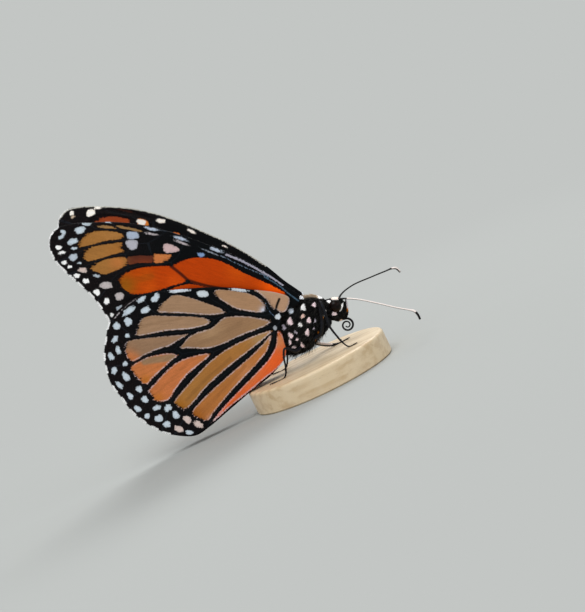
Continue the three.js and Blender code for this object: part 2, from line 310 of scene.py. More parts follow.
def maple_finish():
    """Pale waxed maple: long soft growth lines along X, fine pores and a faint curl across them."""
    wax = {"Specular IOR Level": 0.45, "Coat Weight": 0.12, "Coat Roughness": 0.35}
    net = Finish("waxed_maple", wax)
    where = net.place()
    drift = net.noise(where, (30.0, 90.0, 90.0), 2.0)
    bent = net.vector("ADD", where, net.scaled(net.noise(where, 40.0, 2.0, 1), 0.004))
    rings = net.noise(bent, (25.0, 620.0, 620.0), 4.0)
    pores = net.noise(where, (900.0, 9000.0, 9000.0), 2.0)
    curl = net.noise(where, (420.0, 60.0, 60.0), 1.0)
    line = net.rise(rings, 0.42, 0.66)
    colour = net.mix(line * 0.55, paint("#DCC6A2"), paint("#B4915F"))
    colour = net.mix(net.rise(pores, 0.6, 0.75) * 0.35, colour, paint("#8E6C44"))
    colour = net.mix(net.rise(curl, 0.4, 0.7) * 0.2 + drift * 0.12, colour, paint("#EAD9BC"))
    height = pores * 0.6 + line * 0.3
    return net.done(colour, 0.36 + pores * 0.18, height, depth=0.03, strength=0.35)


# ---- Curves and meshes ----------------------------------------------------------------------

CURVE_STEPS = 24  # places worked out from one point of a path to the next
LIMB_SIDEWAYS = (0.3, 0.9, 0.2)  # near the way across a limb, where its first ring starts
LIMB_END = 0.6  # how far a limb's rounded end stands out, in radii

# The marks at a mesh's points that hold more than one number, and how each kind is stored
MARK_SIZES = {"cell_tint": 4, "spot_tint": 4, "vein": 3, "fan": 3, "lie": 3}
MARK_KINDS = {1: ("FLOAT", "value"), 3: ("FLOAT_VECTOR", "vector"), 4: ("FLOAT_COLOR", "color")}


def smooth(low, high, value):
    """0 at low, 1 at high and a smooth step between them; low may be the greater of the two."""
    t = np.clip((value - low) / (high - low), 0, 1)
    return t * t * (3 - 2 * t)


def cubic(u, start, end, leave, arrive):
    """A smooth way from start to end as u goes from 0 to 1, with its slopes at either end."""
    return ((2 * u**3 - 3 * u**2 + 1) * start + (u**3 - 2 * u**2 + u) * leave
            + (3 * u**2 - 2 * u**3) * end + (u**3 - u**2) * arrive)


def evenly(places, step):
    """The same path with its places a step apart."""
    reach = np.concatenate([[0], np.cumsum(np.linalg.norm(np.diff(places, axis=0), axis=1))])
    at = np.linspace(0, reach[-1], max(2, round(reach[-1] / step)) + 1)
    return np.column_stack([np.interp(at, reach, column) for column in places.T])


def through(points, step, closed=False):
    """A smooth path through points, with places a step apart: a centripetal Catmull-Rom curve."""
    p = np.asarray(points, float)
    if closed:
        p = np.vstack([p[-1:], p, p[:2]])
    else:
        p = np.vstack([2 * p[0] - p[1], p, 2 * p[-1] - p[-2]])
    u = np.linspace(0, 1, CURVE_STEPS, endpoint=False)[:, None]
    places = []
    for a, b, c, d in zip(p, p[1:], p[2:], p[3:]):
        before, here, after = (np.linalg.norm(v) ** 0.5 for v in (b - a, c - b, d - c))
        leave = ((b - a) / before - (c - a) / (before + here) + (c - b) / here) * here
        arrive = ((c - b) / here - (d - b) / (here + after) + (d - c) / after) * here
        places.append(cubic(u, b, c, leave, arrive))
    return evenly(np.vstack([*places, p[-2:-1]]), step)


def between(rows, t):
    """Smooth values between the rows of a list, for every t from 0, the first row, to 1."""
    rows = np.asarray(rows, float)
    place = np.asarray(t, float) * (len(rows) - 1)
    at = np.clip(np.floor(place).astype(int), 0, len(rows) - 2)
    a, b, c, d = (rows[np.clip(at + step, 0, len(rows) - 1)] for step in (-1, 0, 1, 2))
    return cubic((place - at)[:, None], b, c, (c - a) / 2, (d - b) / 2)


def placed(name, data):
    """A new object in the scene."""
    thing = bpy.data.objects.new(name, data)
    bpy.context.scene.collection.objects.link(thing)
    return thing


def new_piece(name, surface, finishes, **marks):
    """A smooth mesh in the frame, of a surface's points, faces and unwrap, with its marks."""
    points, faces, uv = surface
    mesh = bpy.data.meshes.new(name)
    mesh.from_pydata(in_frame(points).tolist(), [], faces)
    mesh.shade_smooth()
    mesh.uv_layers.new(name="OFBake").data.foreach_set("uv", np.asarray(uv, np.float32).ravel())
    for finish in finishes:
        mesh.materials.append(finish)
    piece = placed(name, mesh)
    add_marks(piece, **marks)
    return piece


def add_marks(piece, **marks):
    """Marks for finishes and coats to read: one value for each point, or one for all of them."""
    mesh = piece.data
    for name, values in marks.items():
        size = MARK_SIZES.get(name, 1)
        kind, field = MARK_KINDS[size]
        values = np.reshape(np.asarray(values, np.float32), (-1, size))
        values = np.broadcast_to(values, (len(mesh.vertices), size)).ravel()
        mesh.attributes.new(name, kind, "POINT").data.foreach_set(field, values)


def normals_of(piece):
    normals = np.empty(len(piece.data.vertices) * 3, np.float32)
    piece.data.vertices.foreach_get("normal", normals)
    return normals.reshape(-1, 3).astype(float)


def keep(piece, slot, *nodes):
    """Every finished piece rides the one body and stands for its solids; the slot is not used."""
    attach(piece, ROOT)
    if nodes:
        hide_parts(*nodes)


def rings_closed(rings, first, last):
    """Points, faces and unwrap of a closed surface made of rings and a point at either end."""
    count, sides = rings.shape[:2]
    points = np.vstack([[first], rings.reshape(-1, 3), [last]])
    faces, uv = [], []
    across = np.linspace(0, 1, sides + 1)
    along = np.linspace(0, 1, count + 2)
    end = 1 + (count - 1) * sides
    for s in range(sides):
        n = (s + 1) % sides
        left, right = across[s], across[s + 1]
        faces.append((0, 1 + s, 1 + n))
        uv += [(along[0], (left + right) / 2), (along[1], left), (along[1], right)]
        for r in range(count - 1):
            near, far = 1 + r * sides, 1 + (r + 1) * sides
            here, there = along[r + 1], along[r + 2]
            faces.append((near + s, far + s, far + n, near + n))
            uv += [(here, left), (there, left), (there, right), (here, right)]
        faces.append((end + s, len(points) - 1, end + n))
        uv += [(along[-2], left), (along[-1], (left + right) / 2), (along[-2], right)]
    if signed_volume(points, faces) < 0:
        faces, uv = turned_over(faces, uv)
    return points, faces, uv


def signed_volume(points, faces):
    """Negative where the faces point inwards."""
    tris = np.array([(f[0], f[i], f[i + 1]) for f in faces for i in range(1, len(f) - 1)])
    a, b, c = points[tris[:, 0]], points[tris[:, 1]], points[tris[:, 2]]
    return np.einsum("ij,ij->", a, np.cross(b, c)) / 6


def turned_over(faces, uv):
    """The same faces and unwrap, facing the other way."""
    turned, at = [], 0
    for face in faces:
        turned += uv[at:at + len(face)][::-1]
        at += len(face)
    return [face[::-1] for face in faces], turned


def ellipsoid(centre, radii, rows, columns):
    """A closed surface with its poles along Y."""
    lean = np.linspace(0, np.pi, rows)[1:-1]
    turn = np.linspace(0, 2 * np.pi, columns, endpoint=False)
    unit = np.stack([np.outer(np.sin(lean), np.cos(turn)),
                     np.outer(np.cos(lean), np.ones_like(turn)),
                     np.outer(np.sin(lean), np.sin(turn))], axis=2)
    pole = np.array((0, radii[1], 0))
    return rings_closed(centre + unit * radii, centre + pole, centre - pole)


def limb(points, radii, sides, step, ripple=None, level=None):
    """A round limb through points; what sinks below a level lies on it.

    The radii are those at even steps of its length. With its surface come the way ahead and the
    share of the length at each point.
    """
    path = through(points, step)
    count = len(path)
    t = np.linspace(0, 1, count)
    radius = between(np.array(radii)[:, None], t)[:, 0]
    if ripple:
        radius = radius * ripple(t)
    ahead = np.gradient(path, axis=0)
    ahead /= np.linalg.norm(ahead, axis=1)[:, None]
    side = np.cross(ahead[0], LIMB_SIDEWAYS)
    angle = np.linspace(0, 2 * np.pi, sides, endpoint=False)
    rings = np.empty((count, sides, 3))
    for i in range(count):
        side = side - ahead[i] * (side @ ahead[i])
        side /= np.linalg.norm(side)
        turned_side = np.outer(np.cos(angle), side) + np.outer(np.sin(angle), np.cross(ahead[i], side))
        rings[i] = path[i] + radius[i] * turned_side
    first = path[0] - ahead[0] * radius[0] * LIMB_END
    last = path[-1] + ahead[-1] * radius[-1] * LIMB_END
    if level is not None:
        rings[..., 2] = np.maximum(rings[..., 2], level)
    along = np.vstack([ahead[:1], np.repeat(ahead, sides, axis=0), ahead[-1:]])
    share = np.concatenate([[0], np.repeat(t, sides), [1]])
    return rings_closed(rings, first, last), along, share


# ---- Wings ----------------------------------------------------------------------------------

WING_STEP = 0.17  # size of the triangles
CLEAR_OF_RIM = 0.6  # how far inside the rim the inner places stay, in steps
HINGE_HALF_GAP = 2.4  # from the plane of symmetry to a hinge
WING_SLOPE = math.tan(math.radians(6.5))
WING_BEND = 4  # height over which a wing bends from upright to its slope
HINDWING_OFFSET = 0.78  # how far outside a forewing its hindwing stands
LEFT_FOREWING_RAISE = math.radians(3)
MEMBRANE = 0.07  # half the thickness in a cell
CORD = 0.1  # how far a vein stands out of the membrane
CORD_EDGE = 0.34  # width over which it rises
RIM_SHARE, RIM_TAPER = 0.3, 0.45  # share of the thickness left at the rim, and width of the taper
CELL_BULGE, CELL_EDGE = 0.06, 0.9  # how far cells bulge, in turn to either side, and their rounding
UPPER_VEIN_EXTRA = 0.12  # how much further the black reaches into the cells of the upper side
UPPER_SPOT_SIZE = 0.72  # size on the upper side of the spots that show on both
FAN_CENTRE = np.array([2.0, -1.0])  # where the veins come together
FAN_SPREAD = 18  # millimetres across the veins that a radian stands for, for streaks and rows
FACES_APART = 9  # keeps the streaks of the two sides of a wing from being alike
LEVEL_UP = np.array([0.44, 0.9])  # upwards when the insect is tilted as it rests on a flower
OVAL_SQUARENESS = 2.4  # 2 is an ellipse
RIM_UNWRAP = 0.002  # width of the rim's strip in the unwrap
UNDERSIDE, UPPERSIDE = 1, 2  # where a cell's row holds its tint on that side
TRIANGLES_INSIDE = 1  # asks the triangulation for what lies inside the outline
TINY = 1e-6

FOREWING_OUTLINE = [
    (0.85, 0.3), (0.25, 1.5), (-1.3, 3.9), (-3.6, 8.1), (-6.3, 12), (-9.1, 15.5), (-12.2, 18.8),
    (-16.1, 22.7), (-20.3, 26.3), (-24.8, 29.2), (-29, 31.2), (-32.5, 32.6), (-35.6, 33.1),
    (-37.7, 32.1), (-38.7, 29.9), (-38.7, 27.4), (-37.8, 24.4), (-36.6, 21.3), (-35.5, 18.2),
    (-35, 15.2), (-34.7, 12), (-33.4, 9.2), (-31, 7.9), (-24, 5.8), (-14, 2.8), (-6, 0.4),
    (-2.2, -0.8), (-0.4, -0.7),
]
HINDWING_OUTLINE = [
    (-1.5, 1.3), (-3.1, 3.2), (-7.5, 6.1), (-12.8, 9.2), (-18.8, 11.8), (-24.8, 13.9), (-28.5, 14.4),
    (-32.5, 13.6), (-34.9, 12.2), (-36.8, 9.8), (-38.6, 7), (-39.6, 4), (-40, 1), (-39.4, -2.2),
    (-38.9, -5.2), (-37.3, -8.8), (-35, -11.9), (-32.4, -14), (-29.6, -15.2), (-26.5, -14.8),
    (-22, -13.6), (-16.5, -12.1), (-10.5, -10.6), (-6.9, -8.4), (-5.9, -5), (-5, -2.2), (-3, -0.7),
]

# Cells between the veins: outline, tint of the underside, tint of the upper side. A cell that
# shows on one side only has None for the other.
FOREWING_CELLS = {
    "discal": ([(-19.1, 16.6), (-16.1, 16.8), (-13.1, 15.7), (-10.2, 13.5), (-7.5, 9.8), (-5.2, 7),
                (-2.8, 4), (-1.8, 2.2), (-3.5, 2.6), (-7, 4.9), (-11, 7.4), (-14.6, 9.9),
                (-16.4, 11.6), (-17.7, 13.2), (-18.4, 15)], DEEP_ORANGE, BRIGHT_ORANGE),
    "median": ([(-29.7, 17.7), (-29.4, 18.8), (-28.4, 19.4), (-26.8, 19.5), (-24.8, 19.2),
                (-21.1, 17.8), (-19.1, 16.7), (-18.4, 15), (-17.7, 13.2), (-21.1, 13.4),
                (-26.4, 14.4), (-28.4, 15.3), (-29.2, 16.4)], DEEP_ORANGE, BRIGHT_ORANGE),
    "cubital": ([(-28.6, 10.4), (-26, 11.8), (-22, 12.8), (-18.6, 12.5), (-17, 11.8), (-14, 9.2),
                 (-9, 5.7), (-12, 6), (-19, 8.4), (-26, 9.6)], DEEP_ORANGE, BRIGHT_ORANGE),
    "anal": ([(-28.6, 9.2), (-25.5, 9.1), (-19, 7.8), (-12, 5.4), (-5, 2.2), (-4, 1.1), (-12, 3.6),
              (-20, 6), (-26.6, 7.9)], DEEP_ORANGE, BRIGHT_ORANGE),
    "apical_top": ([(-33.5, 28), (-32.8, 28.8), (-31.7, 29.4), (-30.5, 29.6), (-28.8, 29.2),
                    (-26.8, 28.2), (-25.2, 27), (-24.8, 26.4), (-25.3, 26), (-26.6, 26.3),
                    (-28.3, 26.9), (-30.6, 27.3), (-32.3, 27.7)], OCHRE, None),
    "apical_middle": ([(-33.5, 26.2), (-32.6, 26.8), (-31.2, 26.9), (-29.4, 26.5), (-27.6, 25.9),
                       (-25.6, 25.1), (-25.8, 24.7), (-26.5, 24.4), (-26.1, 23.6), (-28.3, 23.9),
                       (-30.5, 24.2), (-32.5, 24.6), (-33.5, 25.2)], OCHRE, RUST),
    "apical_low": ([(-33.4, 23.2), (-32.5, 23.6), (-30.8, 23.7), (-29.2, 23.4), (-27.6, 22.9),
                    (-26.5, 22.3), (-26.3, 21.7), (-27, 20.9), (-28.4, 20.8), (-29.8, 20.9),
                    (-31.5, 21.1), (-32.6, 22.2)], OCHRE, BRIGHT_ORANGE),
    "rusty_bar": ([(-26.3, 22.1), (-24.2, 21.6), (-22.6, 20.8), (-21.5, 20.1), (-22, 19.2),
                   (-24.3, 20.1), (-26.4, 20.9)], "#552A1E", "#3A1A10"),
    "amber_patch": ([(-21.3, 20.4), (-19.4, 19.5), (-18.2, 18.8), (-20.2, 18.3), (-21.8, 18.9)],
                    "#C07440", BRIGHT_ORANGE),
    "upper_sliver": ([(-28.5, 30.1), (-27.4, 29.8), (-26.1, 28.9), (-25.4, 28.1), (-26.4, 28.6),
                      (-27.9, 29.5)], "#8E6E48", None),
    "lower_sliver": ([(-25.3, 28.7), (-23.8, 27.8), (-22, 26.3), (-21.2, 25.5), (-22, 25.8),
                      (-23.5, 27), (-25, 28.2)], "#8E6E48", None),
    "rust_above": ([(-31.6, 28.4), (-31, 29), (-29.4, 29.1), (-27.5, 28.6), (-26.1, 27.7),
                    (-24.9, 26.8), (-25.2, 26), (-27.1, 26.5), (-30.1, 27.5)], None, RUST),
    "dim_above": ([(-27.2, 30), (-25.6, 29.3), (-23.5, 27.8), (-23.9, 27.6), (-25.6, 28.7)],
                  None, "#2E1610"),
}
# Underside tints go from the hindwing's own tan in the upper cells to orange in the lower ones,
# painted light shining through the wing from behind
HINDWING_CELLS = {
    "humeral": ([(-6.9, 5.6), (-3.9, 3.9), (-1.5, 1.9), (-1.4, 1.2), (-2.4, -0.2), (-3.6, -0.8),
                 (-4.4, -0.1), (-5.2, 1), (-5.5, 2.8), (-6.4, 4.9)], "#AE8B70", BRIGHT_ORANGE),
    "costal": ([(-13.8, 8.9), (-9.3, 6.4), (-7.7, 5), (-6.6, 3.4), (-6.4, 2.1), (-6.9, 1.1),
                (-7.7, 1.2), (-11.6, 3.9), (-12.8, 5.6), (-13.9, 7.7)], "#A37F60", BRIGHT_ORANGE),
    "radial": ([(-25.5, 10.1), (-24.5, 10.9), (-22.6, 11.5), (-21.4, 11.6), (-20.3, 11.1),
                (-17.1, 8.2), (-13.9, 4.6), (-13.9, 4.2), (-16.2, 4.8), (-21.4, 7.7), (-24.2, 9.2)],
               TAN, BRIGHT_ORANGE),
    "upper_median": ([(-31.2, 7.7), (-29.8, 9.5), (-28.7, 10.1), (-27.3, 10), (-23.9, 8.25),
                      (-19.2, 5.75), (-17.4, 4.3), (-17.4, 3.8), (-18.1, 3.6), (-20.9, 4.1),
                      (-25.9, 6), (-30.9, 7.4)], TAN, BRIGHT_ORANGE),
    "median": ([(-34.7, 5.2), (-33.9, 6.9), (-33.4, 7.3), (-29.5, 6.2), (-22.8, 3.7), (-22.1, 3.5),
                (-24.8, 3.2), (-26.4, 3), (-28.1, 3.3), (-31.4, 3.5), (-34.4, 3.5)],
               "#917258", BRIGHT_ORANGE),
    "lower_median": ([(-35.2, 2.3), (-34.6, 2.7), (-33.1, 2.8), (-31.2, 2.8), (-27.8, 1.9),
                      (-26.4, 1.2), (-26, 0.6), (-27.8, 0.1), (-32.3, -1.3), (-33.7, -1.9),
                      (-34.2, -1.6), (-35.1, 0.9)], SALMON, BRIGHT_ORANGE),
    "discal": ([(-24.8, 1.6), (-22.6, 2.8), (-20.9, 3), (-17.6, 2.6), (-14.5, 3.3), (-12.6, 2.7),
                (-9.8, 1.2), (-6.8, -1.3), (-7.8, -1.6), (-12.6, -1.3), (-18.1, -1.1), (-20.6, -0.5),
                (-23.4, 1)], "#937254", BRIGHT_ORANGE),
    "first_cubital": ([(-33.9, -3.1), (-33.4, -2.9), (-28.1, -0.9), (-25.1, -0.6), (-20.2, -1.9),
                       (-25.9, -3.6), (-29.2, -5.2), (-31.6, -6.5), (-33.7, -5.6), (-33.9, -4.4)],
                      "#BC6F40", BRIGHT_ORANGE),
    "second_cubital": ([(-30.6, -7.4), (-28.1, -6.1), (-24.8, -4.7), (-20.3, -3.1), (-15.6, -2.4),
                        (-10.1, -2.5), (-7.4, -3), (-8.1, -3.4), (-12, -4.4), (-19.8, -6.2),
                        (-24.8, -7.9), (-26.4, -8.7), (-29.4, -9.5), (-30.5, -8)],
                       OCHRE, BRIGHT_ORANGE),
    "first_anal": ([(-28.4, -11.1), (-28.1, -10.5), (-25.3, -9.3), (-20.9, -7.9), (-12, -5.4),
                    (-7.8, -3.8), (-8.7, -4.9), (-9.8, -6.1), (-12.8, -7.6), (-19.2, -10.1),
                    (-24.8, -12.7), (-26.2, -13.5), (-27.6, -12.4)], "#AB6C37", BRIGHT_ORANGE),
    "second_anal": ([(-6.3, -3.7), (-5.8, -5.8), (-7.2, -9), (-14, -11.2), (-21, -12.9),
                     (-25.7, -14.2), (-22.6, -12.6), (-16.4, -10.2), (-10.1, -7.7), (-7.7, -5.8),
                     (-7, -4.7)], RED_ORANGE, BRIGHT_ORANGE),
}

# Soft washes of colour over the underside's cells: x, z, reach and tint
FOREWING_WASHES = [
    (-28.8, 17.4, 2.4, "#96580F"), (-3.2, 4.4, 2.6, "#F25A04"), (-8, 10.5, 2.4, "#C24A06"),
    (-28.2, 22.1, 1.5, "#B4703A"), (-25, 14.6, 1.6, "#CC500A"), (-20, 13.8, 1.8, "#C84A08"),
    (-26.5, 27, 2, "#A4723C"), (-27, 24.6, 1.6, "#9E6830"), (-24.5, 17.5, 2, "#B84A06"),
]
HINDWING_WASHES = [
    (-34.6, 4.4, 1.5, SALMON), (-33.6, 3.5, 1, SALMON),
    (-6.9, 1.1, 0.8, "#C4D0E4"), (-28, -11.8, 1.6, "#98581E"),
    (-25.4, -14.3, 1, "#D8B8B4"), (-30, -8.6, 1.4, "#98601F"), (-33.6, -1.1, 1.1, "#B26A2A"),
    (-33, -5.2, 1.1, "#B46A2C"), (-7.1, -5.4, 1.7, "#BE7A50"), (-9, -9, 2, "#DC5E28"),
    (-15.5, -8, 2.2, "#B4784A"), (-20, -5, 3, "#9C6834"), (-10, -3.2, 2, "#A07E54"),
    (-18, 2.2, 2.4, "#A08060"),
]

# Strokes drawn over the cells, the first of them on both sides: path, half-width, tint and share
FOREWING_STROKES = [
    ([(-19.3, 16.9), (-18.4, 15), (-17.6, 13)], 0.34, "#48180A", 0.95),
    ([(-29.4, 17.9), (-26.6, 17.4), (-23.6, 16.8)], 0.7, "#8C4A0C", 0.35),
    ([(-17.4, 12.8), (-14.5, 10.2), (-11, 7.7)], 0.28, "#30140A", 0.9),
]
HINDWING_STROKES = [
    ([(-5.9, -0.5), (-4.95, 0.2), (-4.35, 0.95), (-3.3, 1.95)], 0.26, SCALE_BLACK, 1.0),
    ([(-32.2, 2.3), (-30.6, 1.85), (-28.7, 1.2), (-27, 0.75)], 0.75, "#8E7458", 0.9),
    ([(-31.2, 9), (-27.6, 8.4), (-22, 6.8)], 0.3, "#8A6C50", 0.4),
    ([(-33, -4.4), (-29.6, -3.2), (-25, -1.8)], 0.3, "#AA6438", 0.45),
    ([(-28.2, -8), (-24, -6.4), (-17, -4.4)], 0.35, "#855A2E", 0.5),
    ([(-26.4, -11.6), (-22, -9.8), (-15, -7)], 0.35, "#975E32", 0.5),
    ([(-23.5, 1.3), (-18.5, 0.6), (-12, 1)], 0.5, "#84664A", 0.4),
]

# Spots: x, z, width, height and tilt in degrees, by tint. Those in BOTH show on either side,
# smaller and white on the upper one. Patches are outlines, and highlights, painted lines of light
# along veins and edges, are path, half-width and tint.
FOREWING_SPOTS_BOTH = {
    WHITE: [
        (-37, 29.7, 1.2, 0.85, -15), (-36.9, 28.5, 1.4, 0.6, -15), (-37.4, 26.6, 1.05, 0.85, -15),
        (-36.8, 25.4, 0.8, 0.6, -15), (-36.4, 23.2, 1.15, 0.95, -25), (-35.3, 21.5, 1.25, 1, -25),
        (-34.4, 18.6, 1.1, 1.35, 25), (-33.5, 16.2, 1.05, 1.35, -35), (-33.8, 13.2, 0.8, 1, 20),
    ],
}
FOREWING_SPOTS_UNDER = {
    BLUISH: [
        (-34.85, 32, 1.1, 0.8, -50), (-35.6, 31.3, 1.5, 0.7, 8), (-31.8, 30.9, 2, 1.35, -10),
        (-30.2, 31.4, 2, 0.5, -30), (-34.1, 29.55, 2.05, 1.15, 0), (-34.4, 28.2, 1.25, 0.6, -20),
        (-34.8, 25.2, 0.75, 0.5, -20), (-26.3, 29.9, 1.1, 0.35, -30),
    ],
    "#B7C1CC": [
        (-35.35, 26.75, 1.7, 1.35, 0), (-33, 21.5, 1.4, 0.6, -40), (-31.9, 13.9, 1.4, 0.85, 0),
    ],
    PINKISH: [(-34.9, 23.7, 1.7, 1, -35)],
    "#BDB4B4": [(-32.2, 19.05, 2.4, 1.4, -25), (-30.85, 16, 1.7, 1.5, -10)],
    "#B9C4D6": [
        (-19.4, 25.1, 2.8, 0.55, -38), (-15.2, 20.95, 2.8, 0.6, -45), (-10.1, 15.95, 2.6, 0.62, -47),
        (-13.2, 20.9, 1.7, 0.42, -52),
    ],
    "#BEB4B8": [(-19.9, 24.25, 2.6, 0.42, -35), (-15.45, 20.15, 2.9, 0.42, -47)],
    "#8B93A0": [(-11.1, 15.85, 3.4, 0.26, -48)],
}
FOREWING_PATCHES_UNDER = {
    "#A9B5C8": [[(-24, 26.6), (-22.1, 25.6), (-22.4, 24.6), (-24.3, 25.5)]],
    "#B0B0BA": [[(-24.9, 25.1), (-22.9, 24.2), (-23.6, 23), (-24.6, 23), (-25.1, 23.9)]],
    "#C8ACAC": [[(-18.5, 21.4), (-19.2, 20), (-18.1, 19.2), (-16.3, 19), (-16.9, 20.2)]],
    "#7F9BC6": [[(-13.6, 17), (-12.3, 16.1), (-13.4, 15.9)]],
}
# Painted highlights: a pale lilac streak along the costa and grey-blue sheen along the veins near it
FOREWING_HIGHLIGHTS_UNDER = [
    ([(-8.75, 14.3), (-6.9, 12.2), (-4.85, 9.4), (-2.85, 6.4), (-1.5, 4.1)], 0.2, "#A9A6B6"),
    ([(-4, 7.1), (-2.2, 4.2), (-1, 1.5), (-0.15, -0.1)], 0.14, "#466075"),
    ([(-9.7, 14.5), (-6.4, 10.2), (-3.1, 6.5)], 0.07, "#6A7C90"),
    ([(-18, 24.2), (-14.4, 21.2), (-10.9, 17.9), (-8.4, 14.6)], 0.04, "#46505C"),
]
# Painted highlight: a thin pale line of backlight along the leading edge
FOREWING_HIGHLIGHTS_UPPER = [
    (FOREWING_OUTLINE[3:14], 0.19, "#BDBDB4"),
]
FOREWING_SPOTS_UPPER = {
    "#E88A38": [(-22.75, 25.2, 2.35, 1.4, -35)],
    "#C86A28": [(-17.7, 20.3, 2, 1.3, -35)],
    CREAM: [
        (-34.9, 32.25, 0.95, 0.85, 0), (-31.45, 30.85, 1.85, 1.35, 0), (-29.8, 31.2, 1.6, 0.5, -25),
        (-19.3, 24.1, 1.8, 0.9, -30), (-14.5, 19.9, 1.7, 0.55, -50), (-9.6, 14.65, 1.3, 0.36, -45),
        (-22.95, 25.35, 1.9, 1.1, -35), (-34.6, 28.2, 0.9, 0.6, 0), (-35, 26.4, 1, 0.8, 0),
        (-34.6, 23.8, 0.9, 0.7, 0), (-33.2, 21.6, 0.9, 0.7, 0), (-32.2, 18.6, 0.9, 0.9, 0),
        (-31.4, 15.6, 0.9, 0.9, 0), (-31.4, 12.4, 0.9, 0.9, 0), (-24, 23.6, 1.4, 1.2, -20),
    ],
    "#C8B49C": [(-35.05, 31.45, 1, 0.45, 5)],
}
HINDWING_SPOTS_BOTH = {
    BLUISH: [
        (-30.4, 12.7, 2.8, 1.2, 12), (-27.2, 13.6, 2, 0.9, 8), (-24.7, 12.7, 2.1, 1.2, 25),
        (-27.5, 11.4, 1.9, 1.2, 0), (-31.5, 10.8, 1.5, 1.7, 0), (-33.9, 11, 1.35, 1.5, 0),
        (-35.4, 8.8, 1.6, 1, 35), (-32.9, 8.4, 0.95, 0.9, 0), (-35.8, 6.6, 0.9, 1.7, -12),
        (-37.6, 6.1, 1.05, 1.6, 0), (-38.3, 3.3, 1.1, 1.5, -35), (-35.8, 3.6, 1.05, 0.95, 0),
        (-36.8, 1.2, 1.2, 1.9, 8), (-38.7, 0.3, 0.9, 1.7, 18), (-35.6, -2.1, 1.2, 1.35, 0),
        (-37.8, -2.6, 1, 1.5, 0), (-35.5, -4.4, 1.2, 1.5, 15), (-37.6, -5.5, 1.1, 1.5, 30),
        (-34.1, -6.9, 1.6, 1.05, -10), (-36.6, -7.6, 1.15, 1.05, -15), (-32.2, -7.9, 1.6, 1.25, 15),
        (-34.7, -9, 1.7, 1.35, -10), (-31.4, -9.8, 1.2, 1.7, 0), (-33.8, -10.7, 1.5, 1.25, -15),
        (-30.6, -14.1, 1.5, 0.9, -30),
    ],
    PINKISH: [(-29.8, -11.6, 1.3, 1.8, 25), (-32.1, -12.6, 1.2, 1.9, 45), (-28.3, -13.4, 1.2, 2, 35)],
}
HINDWING_SPOTS_UNDER = {
    "#CBD3DC": [(-20, 11.95, 4.1, 0.65, -22), (-9.5, 6.95, 3.4, 0.6, -33),
                (-2.45, -0.7, 0.65, 1.9, -38), (-5.05, -1.05, 1.1, 1.1, 0)],
    "#9AA0A8": [(-6.5, -2.8, 0.85, 0.8, 0)],
}
HINDWING_PATCHES_UNDER = {
    "#C9D2D8": [[(-16.9, 10.3), (-15.1, 9.4), (-15.5, 8.5), (-16.4, 8.8), (-17.2, 9.5)]],
}
# Painted highlights: steel-blue lines on the veins by the root, and a pale line along the costal edge
HINDWING_HIGHLIGHTS_UNDER = [
    ([(-6.1, 2.4), (-6, 0.5), (-5.7, -0.5)], 0.05, "#5F7896"),
    ([(-4.1, -1.35), (-2.9, -1.65)], 0.05, "#6F88A2"),
    ([(-27.9, 14.25), (-29.6, 13.95), (-31.6, 13.4)], 0.06, "#A49CA0"),
    ([(-32.3, 13.15), (-33.6, 12.55)], 0.08, "#B4ACB0"),
]

# White marks along the margin, between the ends of the veins
FOREWING_MARKS = [(-38.7, 28.9), (-38.7, 26.6), (-38.2, 25.3), (-37.3, 23.1), (-36.6, 21.2),
                  (-35.6, 18.6), (-35, 16), (-34.8, 13.2)]
FOREWING_TIP_MARK = [(-35.4, 33.1), (-36.6, 32.8), (-37.7, 32.1), (-38.4, 31), (-38.7, 30)]
HINDWING_MARKS = [(-35.2, 11.8), (-37.1, 9.3), (-38.8, 6.6), (-39.5, 4.2), (-39.8, 0), (-39.2, -2.9),
                  (-38.8, -5.8), (-37.7, -8.1), (-36.3, -10.3), (-34.6, -12.3)]
MARK_HALF_LENGTH = 0.68
MARK_HALF_WIDTH = 0.2
TIP_HALF_WIDTH = 0.12


def gap_from(places, a, b):
    """The way to each place from the nearest point of the stretch from a to b."""
    v = b - a
    gap = places - a
    return gap - np.clip(gap @ v / (v @ v), 0, 1)[:, None] * v


def distance_to(places, path):
    nearest = np.full(len(places), np.inf)
    for a, b in zip(path, path[1:]):
        nearest = np.minimum(nearest, np.linalg.norm(gap_from(places, a, b), axis=1))
    return nearest


def depth_inside(places, ring):
    """How far places lie inside a closed ring (negative outside), and the way from its edge."""
    nearest = np.full(len(places), np.inf)
    way = np.zeros((len(places), 2))
    inside = np.zeros(len(places), bool)
    x, z = places.T
    for a, b in zip(ring, np.roll(ring, -1, axis=0)):
        gap = gap_from(places, a, b)
        distance = np.einsum("ij,ij->i", gap, gap)
        closer = distance < nearest
        nearest[closer] = distance[closer]
        way[closer] = gap[closer]
        if a[1] != b[1]:
            level = (a[1] > z) != (b[1] > z)
            inside ^= level & (x < a[0] + (b[0] - a[0]) * (z - a[1]) / (b[1] - a[1]))
    far = np.sqrt(nearest)
    return np.where(inside, far, -far), way / np.maximum(far, TINY)[:, None]


def turned(away, tilt):
    """Offsets along and across a spot that is tilted by so many degrees."""
    c, s = math.cos(math.radians(tilt)), math.sin(math.radians(tilt))
    return away @ np.array([(c, -s), (s, c)])


def tinted(tint, code, share):
    """Tints with a share of another colour."""
    return tint + (np.array(paint(code)) - tint) * share[:, None]


